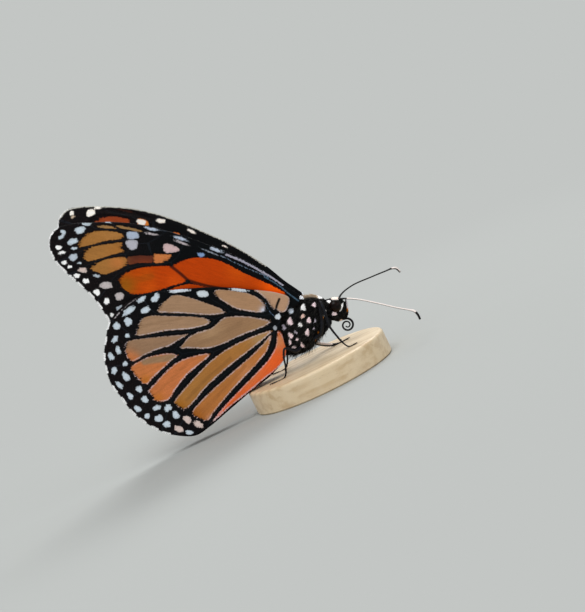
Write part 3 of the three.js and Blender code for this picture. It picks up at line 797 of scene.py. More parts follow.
def wing_plan(outline):
    """Fine triangles over a wing's outline, [x, z], with the places of its rim first."""
    rim = through(outline, WING_STEP, closed=True)[:-1]
    low, high = rim.min(0), rim.max(0)
    rows = np.arange(low[1], high[1], WING_STEP * math.sqrt(0.75))
    columns = np.arange(low[0], high[0], WING_STEP)
    grid = np.array([(x + (r % 2) * WING_STEP / 2, z) for r, z in enumerate(rows) for x in columns])
    depth, _ = depth_inside(grid, rim)
    kept = depth > WING_STEP * CLEAR_OF_RIM
    places = np.vstack([rim, grid[kept]])
    rim_depth = np.concatenate([np.zeros(len(rim)), depth[kept]])
    edges = [(i, (i + 1) % len(rim)) for i in range(len(rim))]
    corners = [Vector(place) for place in places]
    faces = delaunay_2d_cdt(corners, edges, [], TRIANGLES_INSIDE, TINY)[2]
    return places, faces, len(rim), rim_depth


def paint_cells(places, cells, face, washes, strokes):
    """The marks that each place of a wing takes from its nearest cell, and how that cell bulges.

    Cells have a pale line inside their lower edges and inner tips, the lowest cells on both sides;
    along the lower edges it is a painted highlight.
    """
    cells = [cell for cell in cells.values() if cell[face]]
    outward = places - FAN_CENTRE
    outward /= np.linalg.norm(outward, axis=1)[:, None]
    low_on_wing = smooth(6.5, 0.5, places[:, 1]) * 0.7
    depths, along, pales = [], [], []
    for cell in cells:
        depth, way = depth_inside(places, through(cell[0], step=0.35, closed=True)[:-1])
        out = np.einsum("ij,ij->i", way, outward)
        # The lower edge, where a painted highlight falls
        lower_edge = smooth(0.0, 0.5, way @ LEVEL_UP)
        inner_tip = smooth(0.35, 0.8, out)
        pale = np.maximum.reduce([lower_edge, inner_tip, low_on_wing])
        depths.append(depth)
        along.append(1 - smooth(0.5, 0.85, np.abs(out)))
        pales.append(pale * smooth(-0.8, -0.4, out))
    depths = np.array(depths)
    first, second = np.argsort(-depths, axis=0)[:2]
    row = np.arange(len(places))
    depth = depths[first, row]
    gap = depth - depths[second, row]
    signed_gap = np.where(first < second, gap, -gap)
    tint = np.array([paint(cell[face]) for cell in cells])[first]
    for x, z, reach, code in washes:
        tint = tinted(tint, code, np.exp(-((places - (x, z)) ** 2).sum(1) / reach**2))
    for path, half_width, code, share in strokes:
        away = distance_to(places, through(path, step=0.4)) / half_width
        tint = tinted(tint, code, share * (1 - smooth(0.5, 1.3, away)))
    marks = {
        "cell_depth": depth,
        "cell_tint": tint,
        "along_edge": np.array(along)[first, row],
        "vein": np.column_stack([signed_gap, gap, np.array(pales)[first, row]]),
    }
    return marks, (-1.0) ** first


class Spots:
    """How deep each place of a wing lies in a spot, and that spot's tint."""

    def __init__(self, places):
        self.places = places
        self.depth = np.full(len(places), -np.inf)
        self.tint = np.ones((len(places), 4))

    def add(self, depth, code, on_top=True):
        """Adds a spot that lies over the earlier ones, or shows only where it reaches past them."""
        over = (depth > self.depth) | (on_top & (depth > 0))
        self.depth[over] = depth[over]
        self.tint[over] = paint(code)

    def add_path(self, path, half_width, code, on_top=True):
        self.add(half_width - distance_to(self.places, path), code, on_top)

    def add_patches(self, patches):
        for code, outlines in patches.items():
            for outline in outlines:
                ring = through(outline, step=0.25, closed=True)[:-1]
                self.add(depth_inside(self.places, ring)[0], code)

    def add_ovals(self, ovals, code, size=1.0, on_top=True):
        """Slightly lumpy ovals: x, z, width, height and tilt."""
        for x, z, width, height, tilt in ovals:
            q = turned(self.places - (x, z), tilt) / (np.array([width, height]) * size / 2)
            angle = np.arctan2(q[:, 1], q[:, 0])
            reach = (np.abs(q) ** OVAL_SQUARENESS).sum(1) ** (1 / OVAL_SQUARENESS)
            reach = reach * (1 + 0.06 * np.sin(3 * angle + 7 * x) + 0.05 * np.sin(5 * angle + 5 * z))
            self.add((1 - reach) * min(width, height) * size / 2, code, on_top)


def margin_paths(rim, marks, tip_mark):
    """Short stretches of the rim, one round each mark, and the white edge of the tip."""
    paths = []
    reach = round(MARK_HALF_LENGTH / WING_STEP)
    for mark in marks:
        middle = np.argmin(((rim - mark) ** 2).sum(1))
        stretch = np.take(rim, range(middle - reach, middle + reach + 1), axis=0, mode="wrap")
        paths.append((stretch, MARK_HALF_WIDTH))
    if tip_mark:
        paths.append((through(tip_mark, step=0.4), TIP_HALF_WIDTH))
    return paths


def fringe_length(rim, paths, marks, tip_mark):
    """Share of its full length that the fringe has along the rim: longest at the marks."""
    on_margin = smooth(2, 1, distance_to(rim, through(tip_mark[::-1] + marks, step=0.5)))
    near_mark = smooth(0.5, 0.1, np.min([distance_to(rim, path) for path, _ in paths], axis=0))
    length = on_margin * (0.45 + 0.55 * near_mark)
    if tip_mark:
        length = length * (1 - 0.4 * smooth(0.9, 0.3, distance_to(rim, paths[-1][0])))
    return length


def wing_y(z, offset):
    """How far a wing's middle surface stands from the plane of symmetry at a height."""
    return HINGE_HALF_GAP + offset + WING_SLOPE * (np.sqrt(z * z + WING_BEND**2) + z - WING_BEND) / 2


class WingKind:
    """What the left and right wing of a pair share: plan, relief, markings and unwrap."""

    def __init__(self, outline, cells, washes, strokes, spots_both, spots_under, patches_under,
                 highlights_under, spots_upper, highlights_upper, margin_marks, tip_mark):
        self.places, self.faces, self.rim_count, rim_depth = wing_plan(outline)
        rim = self.places[:self.rim_count]
        margin = margin_paths(rim, margin_marks, tip_mark)
        self.fringed = fringe_length(rim, margin, margin_marks, tip_mark)

        outer, bulge = paint_cells(self.places, cells, UNDERSIDE, washes, strokes)
        inner, _ = paint_cells(self.places, cells, UPPERSIDE, [], strokes[:1])
        self.half, self.lift = self.relief(outer["cell_depth"], bulge, rim_depth)
        inner["cell_depth"] = inner["cell_depth"] - UPPER_VEIN_EXTRA

        outer_spots, inner_spots = Spots(self.places), Spots(self.places)
        # Painted highlight lines go on first, under the spots
        for spots, highlights in ((outer_spots, highlights_under), (inner_spots, highlights_upper)):
            for path, half_width, code in highlights:
                spots.add_path(through(path, step=0.3), half_width, code)
        outer_spots.add_patches(patches_under)
        for code, ovals in (*spots_both.items(), *spots_under.items()):
            outer_spots.add_ovals(ovals, code)
        for code, ovals in spots_upper.items():
            inner_spots.add_ovals(ovals, code)
        for ovals in spots_both.values():
            inner_spots.add_ovals(ovals, WHITE, UPPER_SPOT_SIZE, on_top=False)
        for spots, marks in ((outer_spots, outer), (inner_spots, inner)):
            for path, half_width in margin:
                spots.add_path(path, half_width, WHITE, on_top=False)
            marks["spot_depth"] = spots.depth
            marks["spot_tint"] = spots.tint

        away = self.places - FAN_CENTRE
        reach = np.linalg.norm(away, axis=1)
        across = np.arctan2(away[:, 1], -away[:, 0]) * FAN_SPREAD
        outer["fan"] = np.column_stack([reach, across, np.zeros_like(reach)])
        inner["fan"] = outer["fan"] + (0, 0, FACES_APART)
        self.marks = {name: np.concatenate([outer[name], inner[name]]) for name in outer}
        self.uv = self.unwrap()

    def relief(self, depth, bulge, rim_depth):
        """Half the wing's thickness, and how far its middle surface is lifted, at each place."""
        cord = smooth(0, CORD_EDGE, -depth)
        border = smooth(0.6, 1.6, -depth)
        half = MEMBRANE + CORD * cord * (1 - 0.5 * border)
        half = half * (RIM_SHARE + (1 - RIM_SHARE) * smooth(0, RIM_TAPER, rim_depth))
        rounded = 1 - np.exp(-np.maximum(depth, 0) / CELL_EDGE)
        return half, CELL_BULGE * bulge * rounded

    def unwrap(self):
        """Outer side in the left half of the unwrap, inner side in the right half."""
        low, high = self.places.min(0), self.places.max(0)
        flat = (self.places - low) / (high - low)
        outer = flat * (0.47, 0.96) + (0.015, 0.02)
        return np.vstack([outer, outer + (0.5, 0)])

    def rim_faces(self, inner_start):
        """The strip between the outer side's rim and the inner side's, which starts at a point."""
        edges = ((i, (i + 1) % self.rim_count) for i in range(self.rim_count))
        return [(n, i, i + inner_start, n + inner_start) for i, n in edges]


def wing(name, kind, offset, side, raise_angle, finishes):
    """Two painted faces and the rim between them; gives back the rim's points."""
    count = len(kind.places)
    x, z = kind.places.T
    c, s = math.cos(raise_angle), math.sin(raise_angle)
    points = []
    for way_out in (1, -1):
        y = side * (wing_y(z, offset) + kind.lift + way_out * kind.half)
        points.append(np.column_stack([x * c + z * s, y, z * c - x * s]))
    outer = [tuple(face) for face in kind.faces]
    inner = [tuple(i + count for i in reversed(face)) for face in outer]
    faces = outer + inner + kind.rim_faces(count)
    uv = kind.uv[np.array(outer + inner).ravel()].tolist()
    for i in range(kind.rim_count):
        near, far = kind.uv[i], kind.uv[(i + 1) % kind.rim_count]
        uv += [far, near, near + RIM_UNWRAP, far + RIM_UNWRAP]
    if side == SIDES["left"]:
        faces, uv = turned_over(faces, uv)
    piece = new_piece(name, (np.vstack(points), faces, uv), finishes, **kind.marks)
    indices = np.zeros(len(faces), np.int32)
    indices[len(outer):2 * len(outer)] = 1
    piece.data.polygons.foreach_set("material_index", indices)
    keep(piece, name.split("_")[0], name)
    return np.vstack([part[:kind.rim_count] for part in points])


def wing_fringe(name, kind, side, rims, rule, finish):
    """Short scales that stand out from the outer margin, white at the marks and black between."""
    count = kind.rim_count
    faces = kind.rim_faces(count)
    if side == SIDES["left"]:
        faces = [face[::-1] for face in faces]
    uv = np.tile(kind.uv[:count], (2, 1))[np.array(faces).ravel()]
    bed = new_piece(f"{name}_bed", (rims, faces, uv), [finish], brown=0)
    add_marks(bed, lie=normals_of(bed) * 0.8 + (-0.2, 0, -0.1),
              spot_depth=np.tile(kind.marks["spot_depth"][:count], 2),
              spot_tint=np.tile(kind.marks["spot_tint"][:count], (2, 1)))
    grow_coat(rule, name, bed, np.tile(kind.fringed, 2), finish, "fur", COATS["fringe"])
    bpy.data.objects.remove(bed)


def make_wings(rule, tuft_finish):
    under_fore = wing_finish("forewing_underside", 0.0)
    under_hind = wing_finish("hindwing_underside", 0.8)
    upper = wing_finish("wing_upperside", 0.0)
    fore = WingKind(
        FOREWING_OUTLINE, FOREWING_CELLS, FOREWING_WASHES, FOREWING_STROKES,
        spots_both=FOREWING_SPOTS_BOTH, spots_under=FOREWING_SPOTS_UNDER,
        patches_under=FOREWING_PATCHES_UNDER, highlights_under=FOREWING_HIGHLIGHTS_UNDER,
        spots_upper=FOREWING_SPOTS_UPPER, highlights_upper=FOREWING_HIGHLIGHTS_UPPER,
        margin_marks=FOREWING_MARKS, tip_mark=FOREWING_TIP_MARK)
    hind = WingKind(
        HINDWING_OUTLINE, HINDWING_CELLS, HINDWING_WASHES, HINDWING_STROKES,
        spots_both=HINDWING_SPOTS_BOTH, spots_under=HINDWING_SPOTS_UNDER,
        patches_under=HINDWING_PATCHES_UNDER, highlights_under=HINDWING_HIGHLIGHTS_UNDER,
        spots_upper={}, highlights_upper=[], margin_marks=HINDWING_MARKS, tip_mark=[])
    for name, side in SIDES.items():
        raise_angle = LEFT_FOREWING_RAISE if name == "left" else 0
        for part, kind, offset, turn, under in (
                ("forewing", fore, 0, raise_angle, under_fore),
                ("hindwing", hind, HINDWING_OFFSET, 0, under_hind)):
            rims = wing(f"{part}_{name}", kind, offset, side, turn, [under, upper])
            wing_fringe(f"{part}_{name}_fringe", kind, side, rims, rule, tuft_finish)


# ---- Body, head and coat --------------------------------------------------------------------

# Cross-sections of the body from the face to the tail: x, top, bottom, half-width, squareness
BODY_SECTIONS = [
    (7.75, -4.65, -5.8, 0.35, 2.2), (7.5, -3.65, -6.8, 1.1, 2.2), (6.9, -2.95, -7.5, 1.65, 2.2),
    (6.3, -2.6, -7.7, 1.8, 2.2), (5.8, -2.5, -7.7, 1.9, 2.2), (5, -2.4, -7.6, 1.85, 2.3),
    (4.5, -2.25, -7.2, 1.6, 2.3), (4.2, -1.75, -6.95, 1.45, 2.4), (3.8, -1.15, -6.7, 1.6, 2.5),
    (3.3, -0.7, -6.55, 1.9, 2.7), (2.4, -0.2, -7.1, 2.3, 2.8), (1.1, 0.08, -8.15, 2.7, 2.8),
    (-0.6, 0.2, -9.3, 2.95, 2.8), (-2.6, 0.1, -9.95, 2.97, 2.8), (-4.6, -0.6, -9.9, 2.8, 2.8),
    (-6.2, -2, -9.3, 2.45, 2.7), (-7.2, -3.3, -8.6, 2.05, 2.4), (-7.9, -4.4, -8.3, 1.75, 2.2),
    (-9, -4.4, -9, 2.1, 2.1), (-11, -4.7, -9.4, 2.3, 2.1), (-15, -5.7, -10.3, 2.3, 2.1),
    (-19, -6.9, -11.1, 2.1, 2.1), (-22.4, -8.1, -11.5, 1.7, 2.1), (-24.6, -9.2, -11.4, 1.1, 2.1),
    (-25.4, -10, -10.9, 0.4, 2.1),
]
BODY_RINGS, BODY_SIDES = 280, 112
BODY_END = 0.12  # how far the skin's ends stand out, and its smallest half-width
NECK_X = 4.4
WAIST_X = -7.9
HEAD_COAT, THORAX_COAT, ABDOMEN_COAT = 0.2, 0.3, 0.12  # thickness of the coat over the skin
SEGMENT_LENGTH = 2.3
SEGMENT_DEPTH = 0.09

EYE_CENTRE = np.array([5.8, 1.45, -4.25])
EYE_RADII = np.array([1.15, 0.95, 1.3])
LOBE_CENTRE = np.array([0.68, HINGE_HALF_GAP + 0.35, 0.0])
LOBE_RADII = np.array([0.32, 0.3, 0.42])
PALP = [(6.6, 0.62, -7), (7.2, 0.66, -6.15), (7.7, 0.66, -5.15), (8.05, 0.62, -4.4)]
PALP_RADII = [0.2, 0.3, 0.28, 0.1]

# White, pink and orange patches on either side of the body, by tint: x, z, width, height and tilt
BODY_SPOTS = {
    "#FFFFFF": [
        (0.2, -1.7, 0.95, 1.35, -20), (-1.8, -4.4, 0.95, 0.95, 0),
        (3.95, -1.55, 1.35, 0.75, -35), (5.05, -2.98, 0.85, 0.55, -45), (6.66, -5.02, 0.58, 1.75, -54),
        (3.5, -4.62, 0.5, 1.1, -26),
    ],
    "#E6EFFA": [(-2.1, -0.95, 0.85, 2, -24)],
    "#FCE9EE": [
        (2.27, -2.18, 0.8, 0.85, -26), (0.1, -4.35, 0.9, 1.15, -26),
        (-3.3, -3, 1, 1.5, -10), (-1.2, -6.35, 0.8, 1.3, -26), (-4.4, -5.5, 0.85, 1.35, 5),
        (-5.1, -6.7, 0.55, 1.05, -10), (-3.2, -8.3, 0.7, 1.3, -5), (-4.8, -7.9, 0.85, 0.55, -26),
        (5, -5.5, 0.95, 0.9, 0), (-3.6, -6.75, 0.65, 0.6, 0),
    ],
    "#F2D2C6": [(-0.6, -3.15, 0.85, 0.75, 0)],
    "#CFC8D8": [
        (-4.9, -3.5, 0.65, 1.1, -5), (-3.18, -5.42, 0.38, 0.9, 15), (1.1, -5, 0.34, 0.8, -26),
        (0.26, -6.22, 0.42, 0.36, -26),
    ],
    "#E08A2A": [
        (2.88, -3.64, 0.3, 0.6, -20), (2.45, -4.86, 0.32, 0.7, -26), (2.72, -5.2, 0.3, 0.4, 0),
        (0.7, -7.3, 0.5, 0.34, -26), (-0.2, -8.2, 0.34, 0.4, 0),
    ],
    "#FFF3EA": [(6.42, -2.98, 1.4, 0.62, -22)],
    "#F0DCD6": [(5.6, -7.4, 0.7, 0.4, -20)],
    "#C9BFAE": [
        (-9.5, -8, 1.5, 0.5, -8), (-12, -8.6, 1.6, 0.5, -12), (-14.5, -9.1, 1.5, 0.5, -12),
        (-16.8, -9.6, 1.4, 0.5, -12), (-19, -10.1, 1.3, 0.45, -12), (-21.2, -10.5, 1.1, 0.4, -12),
    ],
}


def power(value, exponent):
    return np.sign(value) * np.abs(value) ** exponent


def coat_depth(x):
    """How far the skin lies inside the coat's outline, along the body."""
    head = smooth(NECK_X - 0.4, NECK_X + 0.6, x)
    tail = smooth(WAIST_X + 0.6, WAIST_X - 0.6, x)
    return THORAX_COAT + (HEAD_COAT - THORAX_COAT) * head + (ABDOMEN_COAT - THORAX_COAT) * tail


def body_surface():
    """The skin: rounded boxes through the cross-sections, grooved between the tail's segments."""
    x, top, bottom, half, square = between(BODY_SECTIONS, np.linspace(0, 1, BODY_RINGS)).T
    segment = np.abs((x - WAIST_X) / SEGMENT_LENGTH % 1 - 0.5) * 2
    groove = SEGMENT_DEPTH * smooth(0.7, 1, segment) * smooth(WAIST_X, WAIST_X - 1, x)
    inset = coat_depth(x)
    height = np.maximum((top - bottom) / 2 - inset - groove, BODY_END)
    width = np.maximum(half - inset - groove, BODY_END)
    angle = np.linspace(0, 2 * np.pi, BODY_SIDES, endpoint=False)[None, :]
    reach = (2 / square)[:, None]
    y = width[:, None] * power(np.cos(angle), reach)
    z = ((top + bottom) / 2)[:, None] + height[:, None] * power(np.sin(angle), reach)
    rings = np.stack([np.broadcast_to(x[:, None], y.shape), y, z], axis=2)
    first = (x[0] + BODY_END, 0, z[0].mean())
    last = (x[-1] - BODY_END, 0, z[-1].mean())
    return rings_closed(rings, first, last)


def body_patches(points, normals):
    """The depth in a pale patch and its tint at each point, the two sides of the body alike."""
    x, y, z = points.T
    depth = np.full(len(points), -9.0)
    tint = np.ones((len(points), 4))
    on_left = normals[:, 1] >= 0.05
    for code, spots in BODY_SPOTS.items():
        for sx, sz, width, height, tilt in spots:
            # The patch is seated on the skin of the right side, and is as far out on the left
            seat = np.argmin((x - sx) ** 2 + (z - sz) ** 2 + 99 * on_left)
            across = (np.abs(y) - np.abs(y[seat])) / max(width, height)
            away = turned(points[:, [0, 2]] - (sx, sz), tilt) / (width / 2, height / 2)
            angle = np.arctan2(away[:, 1], away[:, 0])
            lumps = 0.15 * np.sin(3 * angle + np.sin(9 * sx)) + 0.05 * np.sin(7 * angle + 5 * sz)
            reach = np.sqrt((away**2).sum(1) + across**2) * (1 + lumps)
            here = (1 - reach) * min(width, height) / 2
            closer = here > depth
            depth[closer] = here[closer]
            tint[closer] = paint(code)
    return depth, tint


def body_fur(points, normals, patch_depth):
    """The length of the fur, the way it lies, and how much of a painted beige highlight it takes on
    the thorax's upward-facing top, at each point of the skin.
    """
    x, y, z = points.T
    head = smooth(NECK_X - 0.2, NECK_X + 0.8, x)
    tail = smooth(WAIST_X + 0.6, WAIST_X - 0.6, x)
    face = smooth(6.6, 7.6, x)
    to_eye = (np.column_stack([x, np.abs(y), z]) - EYE_CENTRE) / (EYE_RADII * 1.04)
    clear_of_eye = np.linalg.norm(to_eye, axis=1) > 1
    length = (1 - 0.3 * head - 0.3 * face) * (1 - 0.5 * tail)
    length = length * (0.42 + 0.58 * smooth(-0.05, -0.7, patch_depth)) * clear_of_eye

    head = head[:, None]
    sideways = np.sign(y)[:, None] * (0, 1, 0)
    lie = (1 - head) * ((-1, 0, -0.35) + sideways * 0.1) + head * ((-0.5, 0, 0.55) + sideways * 0.25)
    lie -= normals * np.einsum("ij,ij->i", lie, normals)[:, None]

    # A painted highlight on the top of the thorax, where it faces up to the light
    facing_up = smooth(0.3, 0.7, normals[:, 2]) * smooth(1.3, 0.7, np.abs(y))
    brown = facing_up * smooth(0.2, 1.2, x) * smooth(4, 3.6, x)
    return length, lie, brown


# What the rule for a coat is given
COAT_INPUTS = {
    "Skin": "NodeSocketGeometry", "Tufts per m2": "NodeSocketFloat", "Length": "NodeSocketFloat",
    "Width": "NodeSocketFloat", "Thickness": "NodeSocketFloat", "Lift": "NodeSocketFloat",
    "Unrest": "NodeSocketFloat", "Seed": "NodeSocketInt", "Finish": "NodeSocketMaterial",
}
BAKE_PATCH = 0.003  # size in the unwrap of the patch that a tuft takes its colour from

# Tufts to a square millimetre, their length, width and thickness, how far they lift off the skin,
# how much they stray, and the seed
COATS = {
    "fringe": (150, 0.3, 0.1, 0.04, 0.2, 0.2, 83),
    "head_fur": (70, 0.64, 0.085, 0.05, 0.36, 0.26, 11),
    "thorax_fur": (37, 0.95, 0.1, 0.05, 0.34, 0.26, 23),
    "abdomen_scales": (30, 1, 0.15, 0.04, 0.2, 0.12, 37),
    "belly_hairs": (9, 1.9, 0.09, 0.05, 0.75, 0.3, 91),
    "palp": (85, 0.45, 0.08, 0.045, 0.36, 0.26, 51),
    "shoulder_lobe": (70, 0.42, 0.09, 0.045, 0.3, 0.2, 67),
    "standing_leg": (14, 0.26, 0.04, 0.04, 0.5, 0.2, 71),
    "foreleg": (60, 0.42, 0.06, 0.04, 0.45, 0.3, 73),
}


def coat_rule():
    """The rule for a coat: bent, pointed tufts rooted all over a skin, leaning along its lie."""
    net = Net(bpy.data.node_groups.new("coat_rule", "GeometryNodeTree"))
    for name, kind in COAT_INPUTS.items():
        net.tree.interface.new_socket(name, in_out="INPUT", socket_type=kind)
    net.tree.interface.new_socket("Coat", in_out="OUTPUT", socket_type="NodeSocketGeometry")
    inputs = net.node("NodeGroupInput")
    given = {name: Wire(net, inputs.outputs[name]) for name in COAT_INPUTS}

    def named(name, kind):
        return net.wire("GeometryNodeInputNamedAttribute", {"data_type": kind}, {"Name": name})

    def chance(low, high, step):
        sockets = {2: low, 3: high, "Seed": given["Seed"] + step}
        return net.wire("FunctionNodeRandomValue", {"data_type": "FLOAT"}, sockets, 1)

    def stored(geometry, name, kind, domain, value):
        settings = {"data_type": kind, "domain": domain}
        sockets = {"Geometry": geometry, "Name": name, "Value": value}
        return net.wire("GeometryNodeStoreNamedAttribute", settings, sockets)

    # One tuft, a unit long along Z, bending towards +X at its tip
    stem = net.wire("GeometryNodeCurveQuadraticBezier", {}, {
        "Resolution": 3, "Start": (0, 0, -0.06), "Middle": (0, 0, 0.55), "End": (0.2, 0, 1)})
    along = net.wire("GeometryNodeSplineParameter")
    taper = (1 - along * along * 0.97) * 0.5
    section = net.wire("GeometryNodeCurvePrimitiveCircle", {}, {"Resolution": 3, "Radius": 1.0})
    tuft = net.wire("GeometryNodeCurveToMesh", {}, {
        "Curve": stem, "Profile Curve": section, "Scale": taper, "Fill Caps": True})
    place = net.wire("GeometryNodeInputPosition")
    spread = net.wire("ShaderNodeCombineXYZ", {}, {0: net.part(place, 1), 1: net.part(place, 2) - 0.5})
    tuft = stored(tuft, "spread", "FLOAT_VECTOR", "POINT", spread)

    # Roots: more of them where the fur is, none on bare skin
    furred = net.maths("GREATER_THAN", named("hair", "FLOAT"), 0.02)
    scatter = net.node("GeometryNodeDistributePointsOnFaces", {}, {
        "Mesh": given["Skin"], "Seed": given["Seed"], "Density": given["Tufts per m2"] * furred})
    roots = Wire(net, scatter.outputs["Points"])
    outward = Wire(net, scatter.outputs["Normal"])

    # A tuft leans along the lie, lifts off the skin and strays a little, its flat side down
    wild = net.wire("FunctionNodeRandomValue", {"data_type": "FLOAT_VECTOR"}, {
        0: (-1, -1, -1), 1: (1, 1, 1), "Seed": given["Seed"] + 1})
    lean = net.vector("ADD", net.vector("NORMALIZE", named("lie", "FLOAT_VECTOR")),
                      net.scaled(outward, given["Lift"] * chance(0.6, 1.4, 5)))
    lean = net.vector("ADD", lean, net.scaled(wild, given["Unrest"]))
    turn = net.wire("FunctionNodeAlignRotationToVector", {"axis": "Z"}, {"Vector": lean})
    turn = net.wire("FunctionNodeAlignRotationToVector", {"axis": "X", "pivot_axis": "Z"}, {
        "Rotation": turn, "Vector": net.scaled(outward, -1.0)})
    size = net.wire("ShaderNodeCombineXYZ", {}, {
        0: given["Thickness"], 1: given["Width"] * chance(0.7, 1.3, 2),
        2: given["Length"] * named("hair", "FLOAT") * chance(0.65, 1.15, 3)})
    coat = net.wire("GeometryNodeInstanceOnPoints", {}, {
        "Points": roots, "Instance": tuft, "Rotation": turn, "Scale": size})
    coat = stored(coat, "tone", "FLOAT", "INSTANCE", chance(0.0, 1.0, 4))
    coat = net.wire("GeometryNodeRealizeInstances", {}, {"Geometry": coat})

    # Each tuft is a small patch at its root's place on the skin's own unwrap
    patch = net.vector("ADD", named("OFBake", "FLOAT_VECTOR"),
                       net.scaled(named("spread", "FLOAT_VECTOR"), BAKE_PATCH))
    coat = stored(coat, "OFBake", "FLOAT2", "CORNER", patch)
    coat = net.wire("GeometryNodeSetMaterial", {}, {"Geometry": coat, "Material": given["Finish"]})
    net.node("NodeGroupOutput", {}, {"Coat": coat})
    return net.tree


def grow_coat(rule, name, skin, hair, finish, slot, sizes):
    """Grows tufts on a skin where hair, a share of their length at each point, is over 0."""
    piece = placed(name, skin.data.copy())
    add_marks(piece, hair=hair)
    growing = piece.modifiers.new("coat", "NODES")
    growing.node_group = rule
    tufts, length, width, thickness, lift, unrest, seed = sizes
    given = {"Tufts per m2": tufts / MM**2, "Length": length * MM, "Width": width * MM,
             "Thickness": thickness * MM, "Lift": lift, "Unrest": unrest, "Seed": seed,
             "Finish": finish}
    for item in rule.interface.items_tree:
        if item.in_out == "INPUT" and item.name in given:
            growing[item.identifier] = given[item.name]
    bpy.context.view_layer.update()
    seen = piece.evaluated_get(bpy.context.evaluated_depsgraph_get())
    grown = bpy.data.meshes.new_from_object(seen)
    grown.name = name
    piece.modifiers.clear()
    piece.data = grown
    keep(piece, slot)


def make_body(rule, skin_finish, tuft_finish):
    surface = body_surface()
    points = surface[0]
    skin = new_piece("body_skin", surface, [skin_finish])
    normals = normals_of(skin)
    depth, tint = body_patches(points, normals)
    length, lie, brown = body_fur(points, normals, depth)
    add_marks(skin, spot_depth=depth, spot_tint=tint, lie=lie, brown=brown)
    keep(skin, "fur", "head", "thorax", "abdomen")
    x = points[:, 0]
    on_head, on_tail = x > NECK_X - 0.1, x <= WAIST_X
    furred = {
        "head_fur": on_head,
        "thorax_fur": ~on_head & ~on_tail,
        "abdomen_scales": on_tail,
        "belly_hairs": (normals[:, 2] < -0.45) & (x < 3) & ~on_tail,
    }
    for name, here in furred.items():
        grow_coat(rule, name, skin, length * here, tuft_finish, "fur", COATS[name])


def make_palps(rule, skin_finish, tuft_finish):
    """The two hairy mouth feelers that stand up before the face, orange low down and pale above."""
    for name, side in SIDES.items():
        path = [(x, side * y, z) for x, y, z in PALP]
        surface, along, share = limb(path, PALP_RADII, sides=20, step=0.08)
        palp = new_piece(f"palp_{name}", surface, [skin_finish], lie=along, brown=0)
        in_front = smooth(0.2, 0.6, normals_of(palp)[:, 0]) * smooth(0.1, 0.3, share)
        tint = np.where(share[:, None] > 0.5, paint("#DAD4DA"), paint("#D07B22"))
        add_marks(palp, spot_depth=in_front * 0.2 - 0.12, spot_tint=tint)
        keep(palp, "fur", f"palp_{name}")
        grow_coat(rule, f"palp_{name}_fur", palp, 0.8, tuft_finish, "fur", COATS["palp"])


def make_shoulder_lobes(rule, skin_finish, tuft_finish):
    """The small furred lobes over the roots of the forewings, white on top."""
    for name, side in SIDES.items():
        centre = LOBE_CENTRE * (1, side, 1)
        surface = ellipsoid(centre, LOBE_RADII, rows=24, columns=32)
        away = surface[0] - centre
        lobe = new_piece(f"shoulder_lobe_{name}", surface, [skin_finish], lie=(-0.4, 0, 0.9), brown=0,
                         spot_depth=away[:, 2] + 0.3 * away[:, 0] + 0.12, spot_tint=paint("#F7FAFF"))
        keep(lobe, "fur")
        grow_coat(rule, f"shoulder_lobe_{name}_fur", lobe, 1, tuft_finish, "fur",
                  COATS["shoulder_lobe"])


def make_eyes(finish):
    for name, side in SIDES.items():
        surface = ellipsoid(EYE_CENTRE * (1, side, 1), EYE_RADII, rows=50, columns=72)
        keep(new_piece(f"eye_{name}", surface, [finish]), "eye", f"eye_{name}")


# ---- Feelers, tongue and legs ---------------------------------------------------------------

ANTENNAE = {
    "right": [(6.9, -0.6, -3.4), (8.2, -1.1, -3.82), (10.4, -2, -4.95), (13.5, -3.3, -7.1),
              (16.6, -4.6, -9.4), (18.4, -5.3, -10.6), (19.3, -5.65, -11.3), (19.6, -5.8, -12.2),
              (19.6, -5.9, -13.1)],
    "left": [(6.7, 0.6, -3.7), (7.8, 1.1, -2.95), (10.4, 2, -2.45), (14.4, 3.3, -2.72),
             (17.6, 4.3, -3.02), (18.9, 4.65, -3.15), (19.6, 4.85, -3.55), (19.95, 5.05, -4.5)],
}
ANTENNA_RADII = [0.22, 0.16, 0.14, 0.135, 0.135, 0.135, 0.135, 0.135, 0.14, 0.15, 0.23, 0.21]
ANTENNA_SEGMENTS = 46
ANTENNA_HIGHLIGHT = {"right": (0.12, 0.93), "left": (0.88, 1.1)}  # from where to where its upper side has a painted highlight

